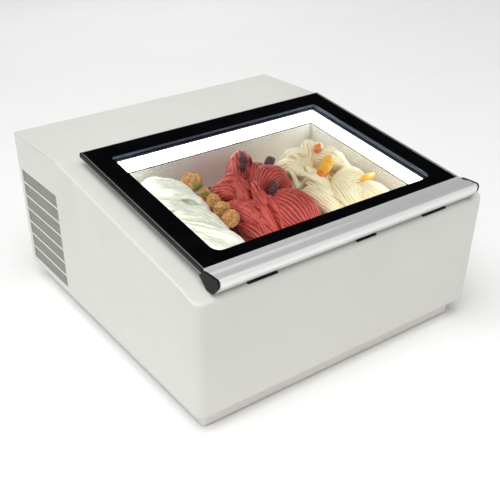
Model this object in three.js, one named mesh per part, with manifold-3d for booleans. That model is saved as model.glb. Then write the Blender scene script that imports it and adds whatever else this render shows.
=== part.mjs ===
// Countertop display freezer for three gelato pans: an insulated well under a sloped, hinged glass lid,
// with the refrigeration machine in the compartment behind the well.
//
// Units are millimetres. x runs to the right of the front, y is the depth measured back from the front
// face, z is the height above the floor. The finished group is shifted so that its origin lies at the
// centre of its footprint.

import * as THREE from 'three';
import { mergeVertices } from 'three/addons/utils/BufferGeometryUtils.js';
import Module from 'manifold-3d';

const wasm = await Module();
wasm.setup();

// ---------------------------------------------------------------- driving dimensions

const WIDTH = 650;
const DEPTH = 670;
const HEIGHT = 340;
const HANDLE_REACH = 9.2; // how far the lid handle stands in front of the front face
const CASE_BOTTOM = 43; // top of the recessed plinth
const PLINTH_INSET = 22;
const FRONT_TOP_Z = 265; // top edge of the front face
const SEAM_Y = 47; // fold between the steep front strip and the deck
const SEAM_Z = 277;
const CREASE_Y = 472; // where the sloped deck meets the flat rear cover
const CORNER_R = 16; // vertical front corners
const SHEET = 2; // wall of the painted case
const GAP = 0.3; // clearance between pieces that touch

const WELL_HALF_X = 252; // clear opening of the well
const WELL_FRONT = 48;
const WELL_REAR = 410;
const WELL_FLOOR = 98;
const COLLAR_DROP = 24; // height of the lit collar below the deck
const LEDGE_Z = 220; // ledge that carries the pan rims

const PAN_PITCH = 165.5;
const PAN_HALF_X = 82;
const PAN_LENGTH = 358;
const PAN_DEPTH = 116;
const PAN_WALL = 1.5;

const GRILLE_Y = [490, 657];
const GRILLE_Z = [54, 263];
const GRILLE_ROWS = 7;
const GRILLE_BAR = 3.5;

const LID_HALF_X = 288.6;
const LID_FRONT = -6.6; // along the deck, from the seam
const LID_REAR = 397.7;
const LID_TOP = 24.6; // above the deck
const GLASS = 4;
const TRIM = 5.3; // width of the aluminium side trims
const HINGE_X = 210;
const HINGE_V = 404; // pin centre, along the deck from the seam
const HINGE_N = 10; // pin centre, above the deck

const FLOOR_Z = CASE_BOTTOM + 1.7; // upper face of the floor plate
const REAR_PANEL_Y = [666, 668];

const FAN_Y = 572;
const FAN_Z = 161;

const HALF_X = WIDTH / 2;
const DECK_SLOPE = Math.atan2(HEIGHT - SEAM_Z, CREASE_Y - SEAM_Y);
const deckAt = (y) => SEAM_Z + (y - SEAM_Y) * Math.tan(DECK_SLOPE);
const stripAt = (y) => FRONT_TOP_Z + y * (SEAM_Z - FRONT_TOP_Z) / SEAM_Y;

// ---------------------------------------------------------------- materials

const finish = (color, roughness, metalness = 0, more = {}) =>
  new THREE.MeshStandardMaterial({ color, roughness, metalness, ...more });

const PAINT = finish(0xdedcd8, 0.45);
const PLINTH_PAINT = finish(0xc4c2bd, 0.55);
const BLACK = finish(0x161616, 0.4);
const RUBBER = finish(0x1c1c1c, 0.85);
const ALUMINIUM = finish(0xc9c9c6, 0.32, 0.9);
const STEEL = finish(0xb9b6b0, 0.35, 0.85);
const ZINC = finish(0x9b9b9a, 0.5, 0.7);
const COPPER = finish(0xb4693c, 0.35, 0.9);
const MESH_GREY = finish(0x8e8e88, 0.5, 0.4);
const FOAM = finish(0xe0c995, 0.95);
const OPAL = finish(0xffffff, 0.6, 0, { emissive: 0xffffff, emissiveIntensity: 0.8 });
const SLATE = finish(0x3a4350, 0.45);
const CLEAR = finish(0xcfe0dc, 0.05, 0, { transparent: true, opacity: 0.3 });
const GREY_PLASTIC = finish(0x55585b, 0.6);
const VANILLA = finish(0xf3efd8, 0.7);
const BERRY = finish(0xa8403f, 0.65);
const CREAM = finish(0xf1e4bd, 0.7);

// ---------------------------------------------------------------- solid modelling helpers

const toSolid = (geometry) => {
  const bare = geometry.clone();
  bare.deleteAttribute('normal');
  bare.deleteAttribute('uv');
  const merged = mergeVertices(bare, 1e-4);
  const triVerts = Uint32Array.from(merged.index.array);
  const vertProperties = Float32Array.from(merged.attributes.position.array);
  return new wasm.Manifold(new wasm.Mesh({ numProp: 3, vertProperties, triVerts }));
};

const toGeometry = (solid) => {
  const { vertProperties, triVerts } = solid.getMesh();
  const geometry = new THREE.BufferGeometry();
  geometry.setAttribute('position', new THREE.BufferAttribute(vertProperties, 3));
  geometry.setIndex(new THREE.BufferAttribute(triVerts, 1));
  geometry.computeVertexNormals();
  return geometry;
};

const join = (first, ...rest) => rest.reduce((whole, piece) => whole.add(piece), first);
const cut = (first, ...rest) => rest.reduce((whole, piece) => whole.subtract(piece), first);

// A closed outline through corners [a, b, radius]; a corner with a radius becomes an arc.
const outline = (corners, arcSteps = 5) => {
  const points = [];
  corners.forEach(([a, b, radius = 0], i) => {
    const here = new THREE.Vector2(a, b);
    if (radius === 0) {
      points.push(here);
      return;
    }
    const before = corners[(i + corners.length - 1) % corners.length];
    const after = corners[(i + 1) % corners.length];
    const back = new THREE.Vector2(before[0] - a, before[1] - b).normalize();
    const ahead = new THREE.Vector2(after[0] - a, after[1] - b).normalize();
    const half = Math.acos(back.dot(ahead)) / 2;
    const bisector = back.clone().add(ahead).normalize();
    const centre = here.clone().addScaledVector(bisector, radius / Math.sin(half));
    const start = here.clone().addScaledVector(back, radius / Math.tan(half)).sub(centre);
    const turn = Math.PI - 2 * half;
    const sense = Math.sign(-back.cross(ahead));
    for (let k = 0; k <= arcSteps; k += 1) {
      const spoke = start.clone().rotateAround(new THREE.Vector2(), sense * turn * k / arcSteps);
      points.push(centre.clone().add(spoke));
    }
  });
  return new THREE.Shape(points);
};

const rectangle = (a0, a1, b0, b1, radius = 0) =>
  [[a0, b0, radius], [a1, b0, radius], [a1, b1, radius], [a0, b1, radius]];

const circle = (a, b, radius, sides = 24) => Array.from({ length: sides }, (_, i) => {
  const angle = 2 * Math.PI * (i + 0.5) / sides;
  return [a + radius * Math.cos(angle), b + radius * Math.sin(angle)];
});

const X = new THREE.Vector3(1, 0, 0);
const Y = new THREE.Vector3(0, 1, 0);
const Z = new THREE.Vector3(0, 0, 1);

// Prisms take an outline in the plane across their axis: (y, z) for x, (x, z) for y, (x, y) for z.
const extrude = (corners, length, arcSteps) =>
  new THREE.ExtrudeGeometry(outline(corners, arcSteps), { depth: length, bevelEnabled: false });

const prismX = (corners, from, to, arcSteps) => toSolid(
  extrude(corners, to - from, arcSteps)
    .translate(0, 0, from)
    .applyMatrix4(new THREE.Matrix4().makeBasis(Y, Z, X)),
);

const prismY = (corners, from, to, arcSteps) => toSolid(
  extrude(corners, to - from, arcSteps)
    .translate(0, 0, -to)
    .applyMatrix4(new THREE.Matrix4().makeBasis(X, Z, Y.clone().negate())),
);

const prismZ = (corners, from, to, arcSteps) =>
  toSolid(extrude(corners, to - from, arcSteps).translate(0, 0, from));

const box = ([x0, x1], [y0, y1], [z0, z1]) => prismZ(rectangle(x0, x1, y0, y1), z0, z1);

// A round-cornered block whose footprint shrinks by `draft` on every side from its top to its bottom.
const taperedBlock = (halfX, y0, y1, z0, z1, radius, draft) => {
  const middle = (y0 + y1) / 2;
  const geometry = extrude(rectangle(-halfX, halfX, y0, y1, radius), z1 - z0, 4).translate(0, 0, z0);
  const position = geometry.attributes.position;
  for (let i = 0; i < position.count; i += 1) {
    if (position.getZ(i) < (z0 + z1) / 2) {
      position.setX(i, position.getX(i) * (1 - draft / halfX));
      position.setY(i, middle + (position.getY(i) - middle) * (1 - 2 * draft / (y1 - y0)));
    }
  }
  return toSolid(geometry);
};

// A turned body with a vertical axis through (x, y); the profile lists [radius, z] upwards.
const turned = (profile, x, y, segments = 24) => {
  const points = profile.map(([radius, z]) => new THREE.Vector2(radius, z));
  return toSolid(new THREE.LatheGeometry(points, segments).rotateX(Math.PI / 2).translate(x, y, 0));
};

const ellipsoid = (centre, radii) => toSolid(
  new THREE.SphereGeometry(1, 20, 12).rotateX(Math.PI / 2).scale(...radii).translate(...centre),
);

const sweep = (extrudePath, radius, steps, sides = 8) => {
  const section = new THREE.Shape(circle(0, 0, radius, sides).map(([a, b]) => new THREE.Vector2(a, b)));
  return toSolid(new THREE.ExtrudeGeometry(section, { steps, extrudePath }));
};

const toVectors = (points) => points.map((point) => new THREE.Vector3(...point));

const tube = (points, radius, steps) =>
  sweep(new THREE.CatmullRomCurve3(toVectors(points), false, 'centripetal'), radius, steps);

// A path of straight runs whose every step lands on one of its points.
class Polyline extends THREE.Curve {
  constructor(points) {
    super();
    this.points = toVectors(points);
  }

  getPointAt(t) {
    return this.points[Math.round(t * (this.points.length - 1))].clone();
  }

  getTangentAt(t) {
    const i = Math.round(t * (this.points.length - 1));
    const tangent = new THREE.Vector3();
    if (i > 0) {
      tangent.add(this.points[i].clone().sub(this.points[i - 1]).normalize());
    }
    if (i < this.points.length - 1) {
      tangent.add(this.points[i + 1].clone().sub(this.points[i]).normalize());
    }
    return tangent.normalize();
  }
}

// ---------------------------------------------------------------- the assembly

const freezer = new THREE.Group();
const assembly = new THREE.Group();
assembly.position.y = -(DEPTH - HANDLE_REACH) / 2;
freezer.add(assembly);

// The lid and its hinges are drawn lying flat: x across, y along the deck from the seam, z above the deck.
const deckFrame = new THREE.Group();
deckFrame.position.set(0, SEAM_Y, SEAM_Z);
deckFrame.rotation.x = DECK_SLOPE;
assembly.add(deckFrame);

const place = (name, solid, material, parent = assembly) => {
  const mesh = new THREE.Mesh(toGeometry(solid), material);
  mesh.name = name;
  parent.add(mesh);
};

const SIDES = [['left', -1], ['right', 1]];
const across = (side, a, b) => [side * a, side * b].sort((p, q) => p - q);

// ---- base

// A floor plate that closes the case, on a recessed skirt that hides the feet.
function addBase() {
  const half = HALF_X - PLINTH_INSET;
  const rear = DEPTH - PLINTH_INSET;
  const plateUnder = CASE_BOTTOM + 0.2;
  const plateEdge = SHEET + GAP;
  const plan = [
    [-HALF_X + plateEdge, plateEdge, CORNER_R - SHEET],
    [HALF_X - plateEdge, plateEdge, CORNER_R - SHEET],
    [HALF_X - plateEdge, REAR_PANEL_Y[0] - GAP],
    [-HALF_X + plateEdge, REAR_PANEL_Y[0] - GAP],
  ];
  const plate = prismZ(plan, plateUnder, FLOOR_Z);
  const ventWidth = 12;
  const vents = [];
  for (let i = 0; i < 5; i += 1) {
    const x = -20 + i * 3 * ventWidth;
    const slot = rectangle(x, x + ventWidth, 515, 625, ventWidth / 2 - 0.1);
    vents.push(prismZ(slot, plateUnder - 1, FLOOR_Z + 1, 2));
  }
  place('base_tray', cut(plate, ...vents), PLINTH_PAINT);

  const skirtBottom = 2.5;
  const skirtTop = plateUnder - GAP;
  const skirt = prismZ(rectangle(-half, half, PLINTH_INSET, rear, 6), skirtBottom, skirtTop);
  const room = rectangle(-half + SHEET, half - SHEET, PLINTH_INSET + SHEET, rear - SHEET, 4);
  place('plinth_skirt', cut(skirt, prismZ(room, skirtBottom - 1, skirtTop + 1)), PLINTH_PAINT);

  const footX = half - 40;
  const footTop = skirtTop;
  for (const [side, sign] of SIDES) {
    for (const [end, y] of [['front', PLINTH_INSET + 40], ['rear', rear - 40]]) {
      const profile = [[0, 0], [15, 0], [17, 2], [14, 14], [6, 15], [6, footTop], [0, footTop]];
      place(`foot_${end}_${side}`, turned(profile, sign * footX, y, 20), RUBBER);
    }
  }
}

// ---- painted case

const caseSide = (inset, bottom, rear) => [
  [inset, bottom],
  [inset, FRONT_TOP_Z - inset, 6],
  [SEAM_Y, SEAM_Z - inset],
  [CREASE_Y, HEIGHT - inset],
  [rear, HEIGHT - inset],
  [rear, bottom],
];

const casePlan = (inset, rear) => [
  [-HALF_X + inset, inset, CORNER_R - inset],
  [HALF_X - inset, inset, CORNER_R - inset],
  [HALF_X - inset, rear],
  [-HALF_X + inset, rear],
];

const caseBlock = (inset, bottom, rear) => {
  const silhouette = prismX(caseSide(inset, bottom, rear), -HALF_X + inset, HALF_X - inset);
  return silhouette.intersect(prismZ(casePlan(inset, rear), bottom, HEIGHT + 1));
};

const COVER_THICK = 3;

function addCase() {
  const shell = cut(
    caseBlock(0, CASE_BOTTOM, DEPTH),
    caseBlock(SHEET, CASE_BOTTOM - 1, DEPTH + 1),
    box([-HALF_X - 1, HALF_X + 1], [CREASE_Y, DEPTH + 1], [HEIGHT - COVER_THICK - GAP, HEIGHT + 1]),
    box([-WELL_HALF_X - 6.3, WELL_HALF_X + 6.3], [WELL_FRONT - 4.3, WELL_REAR + 6.3], [250, HEIGHT + 1]),
  );
  const openings = [];
  const pitch = (GRILLE_Z[1] - GRILLE_Z[0] + GRILLE_BAR) / GRILLE_ROWS;
  for (let row = 0; row < GRILLE_ROWS; row += 1) {
    const low = GRILLE_Z[0] + row * pitch;
    openings.push(box([-HALF_X - 1, HALF_X + 1], GRILLE_Y, [low, low + pitch - GRILLE_BAR]));
  }
  place('outer_case', cut(shell, ...openings), PAINT);

  const coverEdge = [[CREASE_Y + GAP, HEIGHT - COVER_THICK], [DEPTH, HEIGHT - COVER_THICK]];
  coverEdge.push([DEPTH, HEIGHT, 2], [CREASE_Y + GAP, HEIGHT]);
  place('rear_cover', prismX(coverEdge, -HALF_X, HALF_X, 3), PAINT);

  for (const [side, sign] of SIDES) {
    const meshY = [GRILLE_Y[0] - 6, GRILLE_Y[1] + 5];
    const meshX = across(sign, HALF_X - SHEET - GAP, HALF_X - SHEET - GAP - 1);
    const holes = [];
    for (let row = 0; row < GRILLE_ROWS; row += 1) {
      for (let column = 0; column < 4; column += 1) {
        const low = GRILLE_Z[0] + row * pitch + 6;
        const near = GRILLE_Y[0] + 4 + column * 41;
        holes.push(box(across(sign, HALF_X, HALF_X - 10), [near, near + 35], [low, low + 14]));
      }
    }
    const plate = box(meshX, meshY, [GRILLE_Z[0] - 5, GRILLE_Z[1] + 5]);
    place(`grille_mesh_${side}`, cut(plate, ...holes), MESH_GREY);
  }
}

// Rear panel with louvre slots and the cut-outs for the electrical fittings.
const INLET = { x: 250, z: 92, halfX: 14, halfZ: 10 };
const SWITCH = { x: 196, z: 92, halfX: 6.5, halfZ: 10 };
const THERMOSTAT = { x: 222, z: 292, halfX: 35.5, halfZ: 14.5 };

function addRearPanel() {
  const half = HALF_X - SHEET - GAP;
  const plate = box([-half, half], REAR_PANEL_Y, [CASE_BOTTOM, HEIGHT - COVER_THICK - GAP]);
  const slots = [];
  for (const centre of [-200, -20]) {
    for (let row = 0; row < 9; row += 1) {
      const low = 84 + row * 20;
      const slot = rectangle(centre - 70, centre + 70, low, low + 7, 3.4);
      slots.push(prismY(slot, REAR_PANEL_Y[0] - 1, REAR_PANEL_Y[1] + 1, 2));
    }
  }
  for (const fitting of [INLET, SWITCH, THERMOSTAT]) {
    const xs = [fitting.x - fitting.halfX - GAP, fitting.x + fitting.halfX + GAP];
    const zs = [fitting.z - fitting.halfZ - GAP, fitting.z + fitting.halfZ + GAP];
    slots.push(box(xs, [REAR_PANEL_Y[0] - 1, REAR_PANEL_Y[1] + 1], zs));
  }
  place('rear_panel', cut(plate, ...slots), PAINT);
}

// ---- insulated well

function addWell() {
  const foamSide = [
    [SHEET + 0.5, FLOOR_Z + 0.5],
    [SHEET + 0.5, FRONT_TOP_Z - SHEET - 3],
    [SEAM_Y, SEAM_Z - SHEET - 1],
    [469.5, deckAt(469.5) - SHEET - 1],
    [469.5, FLOOR_Z + 0.5],
  ];
  const foamPlan = [
    [-HALF_X + 2.5, 2.5, CORNER_R],
    [HALF_X - 2.5, 2.5, CORNER_R],
    [HALF_X - 2.5, 470],
    [-HALF_X + 2.5, 470],
  ];
  const foam = prismX(foamSide, -HALF_X + 2.5, HALF_X - 2.5).intersect(prismZ(foamPlan, 40, HEIGHT));
  const pocket = [-WELL_HALF_X - 10, WELL_HALF_X + 10];
  const foamPocket = box(pocket, [WELL_FRONT - 14, WELL_REAR + 10], [WELL_FLOOR - 2.5, HEIGHT]);
  place('foam_insulation', cut(foam, foamPocket), FOAM);

  const linerTop = (y) => deckAt(y) - COLLAR_DROP - GAP;
  const front = WELL_FRONT - SHEET;
  const rear = WELL_REAR + SHEET;
  const upperSide = [[front, LEDGE_Z - SHEET], [front, linerTop(front)], [rear, linerTop(rear)]];
  upperSide.push([rear, LEDGE_Z - SHEET]);
  const upper = prismX(upperSide, -WELL_HALF_X - SHEET, WELL_HALF_X + SHEET);
  const lower = box([-248, 248], [54, 404], [WELL_FLOOR - SHEET, LEDGE_Z - 1]);
  const upperRoom = box([-WELL_HALF_X, WELL_HALF_X], [WELL_FRONT, WELL_REAR], [LEDGE_Z, HEIGHT]);
  const lowerRoom = box([-246, 246], [56, 402], [WELL_FLOOR, LEDGE_Z + 1]);
  place('cavity_liner', cut(join(upper, lower), upperRoom, lowerRoom), STEEL);

  const collarSide = [
    [WELL_FRONT - 4, deckAt(WELL_FRONT - 4) - COLLAR_DROP],
    [WELL_FRONT - 4, stripAt(WELL_FRONT - 4)],
    [SEAM_Y, SEAM_Z],
    [WELL_REAR + 6, deckAt(WELL_REAR + 6)],
    [WELL_REAR + 6, deckAt(WELL_REAR + 6) - COLLAR_DROP],
  ];
  const collar = prismX(collarSide, -WELL_HALF_X - 6, WELL_HALF_X + 6);
  place('light_collar', cut(collar, box([-252, 252], [WELL_FRONT, WELL_REAR], [200, HEIGHT])), OPAL);

  const stripHalf = WELL_HALF_X - 12;
  const rearStripY = [WELL_REAR + 6.4, WELL_REAR + 8.2];
  const frontStripY = [WELL_FRONT - 7.4, WELL_FRONT - 4.4];
  place('led_strip_rear', box([-stripHalf, stripHalf], rearStripY, [311, 324]), PAINT);
  place('led_strip_front', box([-stripHalf, stripHalf], frontStripY, [255, 266]), PAINT);

  place('evaporator_coil', evaporator(), COPPER);

  const wall = box([-HALF_X + 4, HALF_X - 4], [470, 471.5], [FLOOR_Z + 0.5, HEIGHT - 6]);
  const linePort = prismY(circle(150, 120, 8, 16), 469, 473);
  place('partition_panel', cut(wall, linePort), ZINC);
}

// The coil winds round the lower part of the liner, rising a little with every corner it passes.
function evaporator() {
  const turns = 4;
  const low = 116;
  const rise = 22;
  const x = 253.5;
  const ends = [48.5, 409.5];
  const bend = 7;
  const lap = [
    [-x + bend, ends[0]], [x - bend, ends[0]], [x - bend / 3, ends[0] + bend / 3], [x, ends[0] + bend],
    [x, ends[1] - bend], [x - bend / 3, ends[1] - bend / 3], [x - bend, ends[1]],
    [-x + bend, ends[1]], [-x + bend / 3, ends[1] - bend / 3], [-x, ends[1] - bend],
    [-x, ends[0] + bend], [-x + bend / 3, ends[0] + bend / 3],
  ];
  const points = [];
  for (let turn = 0; turn < turns; turn += 1) {
    lap.forEach(([a, b], i) => points.push([a, b, low + rise * (turn + i / lap.length)]));
  }
  return sweep(new Polyline(points), 3.5, points.length - 1);
}

// ---- pans and their contents

const PAN_MIDDLE = (WELL_FRONT + WELL_REAR) / 2 - 1;
const PAN_BODY_HALF_X = 72.5;
const PAN_BODY_INSET = 11;
const PAN_DRAFT = 7;

const panBlock = (inset, floor, top) => taperedBlock(
  PAN_BODY_HALF_X - inset,
  PAN_MIDDLE - PAN_LENGTH / 2 + PAN_BODY_INSET + inset,
  PAN_MIDDLE + PAN_LENGTH / 2 - PAN_BODY_INSET - inset,
  floor,
  top,
  14,
  PAN_DRAFT,
);

function pan() {
  const rimZ = LEDGE_Z + GAP;
  const y0 = PAN_MIDDLE - PAN_LENGTH / 2;
  const y1 = PAN_MIDDLE + PAN_LENGTH / 2;
  const rim = prismZ(rectangle(-PAN_HALF_X, PAN_HALF_X, y0, y1, 9), rimZ, rimZ + 2.2);
  const body = panBlock(0, rimZ + 1 - PAN_DEPTH, rimZ + 1);
  const room = panBlock(PAN_WALL, rimZ + 1 - PAN_DEPTH + PAN_WALL, rimZ + 4);
  return cut(join(rim, body), room);
}

// Each serving fills its pan and is heaped above the rim; the mounds are [y, z, radius y, radius z].
const SERVINGS = [
  ['left', -1, VANILLA, [[305, 222, 92, 80], [215, 222, 110, 58], [130, 220, 72, 34]]],
  ['centre', 0, BERRY, [[335, 222, 66, 86], [245, 222, 110, 68], [130, 220, 72, 36]]],
  ['right', 1, CREAM, [[318, 222, 82, 90], [220, 222, 110, 64], [130, 220, 72, 36]]],
];

function addPans() {
  for (const [name, column, material, mounds] of SERVINGS) {
    const rimTop = LEDGE_Z + GAP + 2.2;
    const filling = panBlock(PAN_WALL + 0.5, rimTop - 96, rimTop + 2);
    const heap = join(...mounds.map(([y, z, ry, rz]) => ellipsoid([0, y, z], [78, ry, rz])));
    const above = box([-80, 80], [56, 402], [rimTop + 0.5, HEIGHT]);
    const shift = column * PAN_PITCH;
    const panMesh = new THREE.Mesh(toGeometry(pan()), STEEL);
    panMesh.name = `pan_${name}`;
    panMesh.position.x = shift;
    const gelatoMesh = new THREE.Mesh(toGeometry(join(filling, heap.intersect(above))), material);
    gelatoMesh.name = `gelato_${name}`;
    gelatoMesh.position.x = shift;
    assembly.add(panMesh, gelatoMesh);
  }
}

// ---- refrigeration machine

function addMachine() {
  const floor = FLOOR_Z;
  const plate = box([-45, 165], [500, 640], [floor + GAP, floor + 3]);
  place('compressor_plate', plate, ZINC);

  const cx = 60;
  const cy = 570;
  const z0 = floor + 3 + GAP;
  const pot = turned([
    [0, z0 + 18], [52, z0 + 18], [66, z0 + 28], [70, z0 + 44], [70, z0 + 78], [73, z0 + 80], [73, z0 + 86],
    [70, z0 + 88], [69, z0 + 120], [60, z0 + 142], [40, z0 + 155], [0, z0 + 160],
  ], cx, cy, 28);
  const legs = [-1, 1].map((side) => join(
    box([cx + side * 62 - 18, cx + side * 62 + 18], [cy - 55, cy + 55], [z0, z0 + 3]),
    box(across(1, cx + side * 50 - 4, cx + side * 50 + 4), [cy - 40, cy + 40], [z0 + 1, z0 + 30]),
  ));
  const terminal = box([cx + 58, cx + 92], [cy - 24, cy + 24], [z0 + 60, z0 + 112]);
  place('compressor', join(pot, ...legs, terminal), BLACK);

  place('condenser', condenser(), ALUMINIUM);

  const shroudX = [-258, -256];
  const shroud = box(shroudX, [492, 652], [62, 260]);
  const mouth = prismX(circle(FAN_Y, FAN_Z, 68, 32), -262, -250);
  const ring = prismX(circle(FAN_Y, FAN_Z, 71, 32), -257, -244);
  const bore = prismX(circle(FAN_Y, FAN_Z, 68, 32), -260, -240);
  const strap = join(
    box([-257, -190], [FAN_Y - 8, FAN_Y + 8], [FAN_Z + 76, FAN_Z + 78]),
    box([-192, -190], [FAN_Y - 8, FAN_Y + 8], [FAN_Z - 78, FAN_Z + 78]),
    box([-257, -190], [FAN_Y - 8, FAN_Y + 8], [FAN_Z - 78, FAN_Z - 76]),
  );
  place('fan_shroud', join(cut(shroud, mouth), cut(ring, bore), strap), ZINC);
  place('fan_motor', prismX(circle(FAN_Y, FAN_Z, 30), -238, -192.4), GREY_PLASTIC);
  place('fan_rotor', fanRotor(), ALUMINIUM);

  const drier = turned([
    [0, 92], [3, 92], [3, 100], [11, 106], [11, 168], [3, 174], [3, 182], [0, 182],
  ], -120, 510, 16);
  place('filter_drier', drier, COPPER);

  place('discharge_pipe', tube([
    [cx - 40, cy + 10, z0 + 161], [cx - 44, cy + 10, 262], [cx - 90, cy + 6, 282], [-150, 560, 284],
    [-230, 510, 282], [-286, 500, 272], [-289, 500, 258.9],
  ], 3.2, 26), COPPER);
  place('liquid_pipe', tube([
    [-289, 493.2, 80], [-288, 486, 79], [-270, 482, 66], [-190, 482, 56], [-146, 490, 56],
    [-122, 508, 66], [-120, 510, 91.5],
  ], 3, 24), COPPER);
  place('suction_pipe', tube([
    [150, 469.8, 120], [150, 484, 120], [150, 500, 150], [140, 520, 220], [112, 545, 252], [84, 565, 240],
    [cx + 22, cy, z0 + 163],
  ], 4, 26), COPPER);

  place('control_box', box([180, 300], [560, 640], [130, 190]), GREY_PLASTIC);
}

// Finned block: a core with slots sawn into both broad faces, between two end plates.
function condenser() {
  const core = box([-316, -262], [494, 650], [64, 258]);
  const slots = [];
  for (let y = 500; y < 642; y += 8) {
    slots.push(box([-317, -291], [y, y + 5], [70, 252]));
    slots.push(box([-287, -261], [y, y + 5], [70, 252]));
  }
  return cut(core, ...slots);
}

function fanRotor() {
  const hub = prismX(circle(FAN_Y, FAN_Z, 18), -255, -240);
  const blades = Array.from({ length: 5 }, (_, i) => toSolid(
    new THREE.BoxGeometry(2.2, 28, 52)
      .rotateZ(0.42)
      .translate(-248, 0, 37)
      .rotateX(2 * Math.PI * i / 5)
      .translate(0, FAN_Y, FAN_Z),
  ));
  return join(hub, ...blades);
}

// ---- fittings on the rear panel

function addRearFittings() {
  const inlet = INLET;
  const body = box([inlet.x - 14, inlet.x + 14], [640, 668], [inlet.z - 10, inlet.z + 10]);
  const flange = box([inlet.x - 20, inlet.x + 20], [668 + GAP, 669.8], [inlet.z - 13, inlet.z + 13]);
  const neck = box([inlet.x - 13, inlet.x + 13], [660, 669], [inlet.z - 9, inlet.z + 9]);
  const recess = prismY(rectangle(inlet.x - 11.5, inlet.x + 11.5, inlet.z - 8, inlet.z + 8, 3), 646, 671, 3);
  const pins = [-7, 0, 7].map((dx) => box(
    [inlet.x + dx - 1.2, inlet.x + dx + 1.2],
    [645, 662],
    [inlet.z + (dx === 0 ? 2 : -4), inlet.z + (dx === 0 ? 5.5 : -0.5)],
  ));
  place('mains_inlet', join(cut(join(body, flange, neck), recess), ...pins), BLACK);

  const sw = SWITCH;
  const housing = join(
    box([sw.x - 6.5, sw.x + 6.5], [644, 669], [sw.z - 10, sw.z + 10]),
    box([sw.x - 10, sw.x + 10], [668 + GAP, 669.8], [sw.z - 14, sw.z + 14]),
  );
  const mouth = box([sw.x - 5.2, sw.x + 5.2], [655, 671], [sw.z - 9, sw.z + 9]);
  place('switch_housing', cut(housing, mouth), BLACK);
  place('switch_rocker', rocker(), BLACK);

  const th = THERMOSTAT;
  const screenBody = join(
    box([th.x - 35.5, th.x + 35.5], [606, 668.5], [th.z - 14.5, th.z + 14.5]),
    box([th.x - 38.5, th.x + 38.5], [668 + GAP, 669.2], [th.z - 17, th.z + 17]),
  );
  const buttonHoles = BUTTONS.map(([, dx]) => prismY(circle(th.x + dx, th.z - 10, 3.4, 16), 664, 671));
  place('thermostat', cut(screenBody, ...buttonHoles), BLACK);
  for (const [name, dx] of BUTTONS) {
    const button = prismY(circle(th.x + dx, th.z - 10, 3, 16), 666, 669.9);
    place(`thermostat_button_${name}`, button, GREY_PLASTIC);
  }
}

const BUTTONS = [['down', -22], ['set', 0], ['up', 22]];

// Rocker with two faces that meet over its pivot; it is drawn tipped onto its upper half.
const ROCKER_TILT = 0.16;
const ROCKER_PIVOT_Y = 663.2;
function rocker() {
  const sw = SWITCH;
  const profile = [[-7, 0], [0, -1.6], [7, 0], [6, 7], [-6, 7]].map(([dz, dy]) => {
    const corner = new THREE.Vector2(dz, dy - 4).rotateAround(new THREE.Vector2(), ROCKER_TILT);
    return [ROCKER_PIVOT_Y - corner.y, sw.z + corner.x];
  });
  return prismX(profile, sw.x - 4.8, sw.x + 4.8);
}

// ---- pieces on the front strip

function addFrontPieces() {
  const padY = [4.5, 12];
  const padOn = (lift, thick) => [
    [padY[0], stripAt(padY[0]) + lift], [padY[1], stripAt(padY[1]) + lift],
    [padY[1], stripAt(padY[1]) + lift + thick], [padY[0], stripAt(padY[0]) + lift + thick],
  ];
  for (const [side, sign] of SIDES) {
    const [x0, x1] = across(sign, 165, 224);
    place(`lid_rest_pad_${side}`, prismX(padOn(GAP, 2.2), x0, x1), RUBBER);
  }
  const catchBlock = cut(prismX(padOn(GAP, 2.4), 6, 50), box([21, 35], [0, 9], [stripAt(0) + 3.2, 280]));
  place('lid_catch', catchBlock, BLACK);
}

// ---- lid

// A rectangular ring in the deck frame: half-widths and ends of its outer and inner edge.
const ring = (outerX, outerY, innerX, innerY, n0, n1) => cut(
  box([-outerX, outerX], outerY, [n0, n1]),
  box([-innerX, innerX], innerY, [n0 - 1, n1 + 1]),
);

function addLid() {
  const paneHalf = LID_HALF_X - TRIM - GAP;
  const paneRear = LID_REAR - 3.4;
  const under = LID_TOP - GLASS;
  const pane = box([-paneHalf, paneHalf], [LID_FRONT, paneRear], [under, LID_TOP]);
  place('lid_glass', pane, CLEAR, deckFrame);
  for (const [side, sign] of SIDES) {
    const strip = box(
      across(sign, LID_HALF_X - TRIM, LID_HALF_X),
      [LID_FRONT, LID_REAR - 3.1],
      [LID_TOP - 9, LID_TOP + 0.5],
    );
    place(`lid_side_trim_${side}`, strip, ALUMINIUM, deckFrame);
  }
  const rearTrim = box([-LID_HALF_X, LID_HALF_X], [LID_REAR - 2.8, LID_REAR], [LID_TOP - 9, LID_TOP + 0.2]);
  place('lid_rear_trim', rearTrim, BLACK, deckFrame);

  const frameX = 276;
  const frameY = [-7.6, 391];
  const innerX = WELL_HALF_X;
  const innerY = [-0.2, 367];
  const seat = 8;
  const lip = ring(frameX, frameY, innerX, innerY, 4, seat - GAP);
  const wall = ring(frameX, frameY, frameX - 5, [frameY[0] + 2, frameY[1] - 5], 4, under - GAP);
  place('lid_inner_frame', join(lip, wall), BLACK, deckFrame);
  const nestX = frameX - 5 - GAP;
  const nestY = [frameY[0] + 2 + GAP, frameY[1] - 5 - GAP];
  place('lid_inner_glass', box([-nestX, nestX], nestY, [seat, seat + GLASS]), CLEAR, deckFrame);
  const spacer = ring(nestX, nestY, innerX, innerY, seat + GLASS + GAP, under - GAP);
  place('lid_spacer', spacer, SLATE, deckFrame);
  const gasket = ring(272, [-7, 387], WELL_HALF_X + 5, [-1.2, 373], 0.6, 4 - GAP);
  place('lid_gasket', gasket, RUBBER, deckFrame);
}

// Handle section in (y, z): flat top, rounded nose, sloping underside; the joint with the glass is upright.
const HANDLE_TOP = 302;
const handleOutline = (rearCorners) => [
  [-HANDLE_REACH, HANDLE_TOP, 6],
  [-HANDLE_REACH, 290, 8],
  [3, 271.8, 6],
  [20, 272.2, 6],
  ...rearCorners,
];

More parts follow.
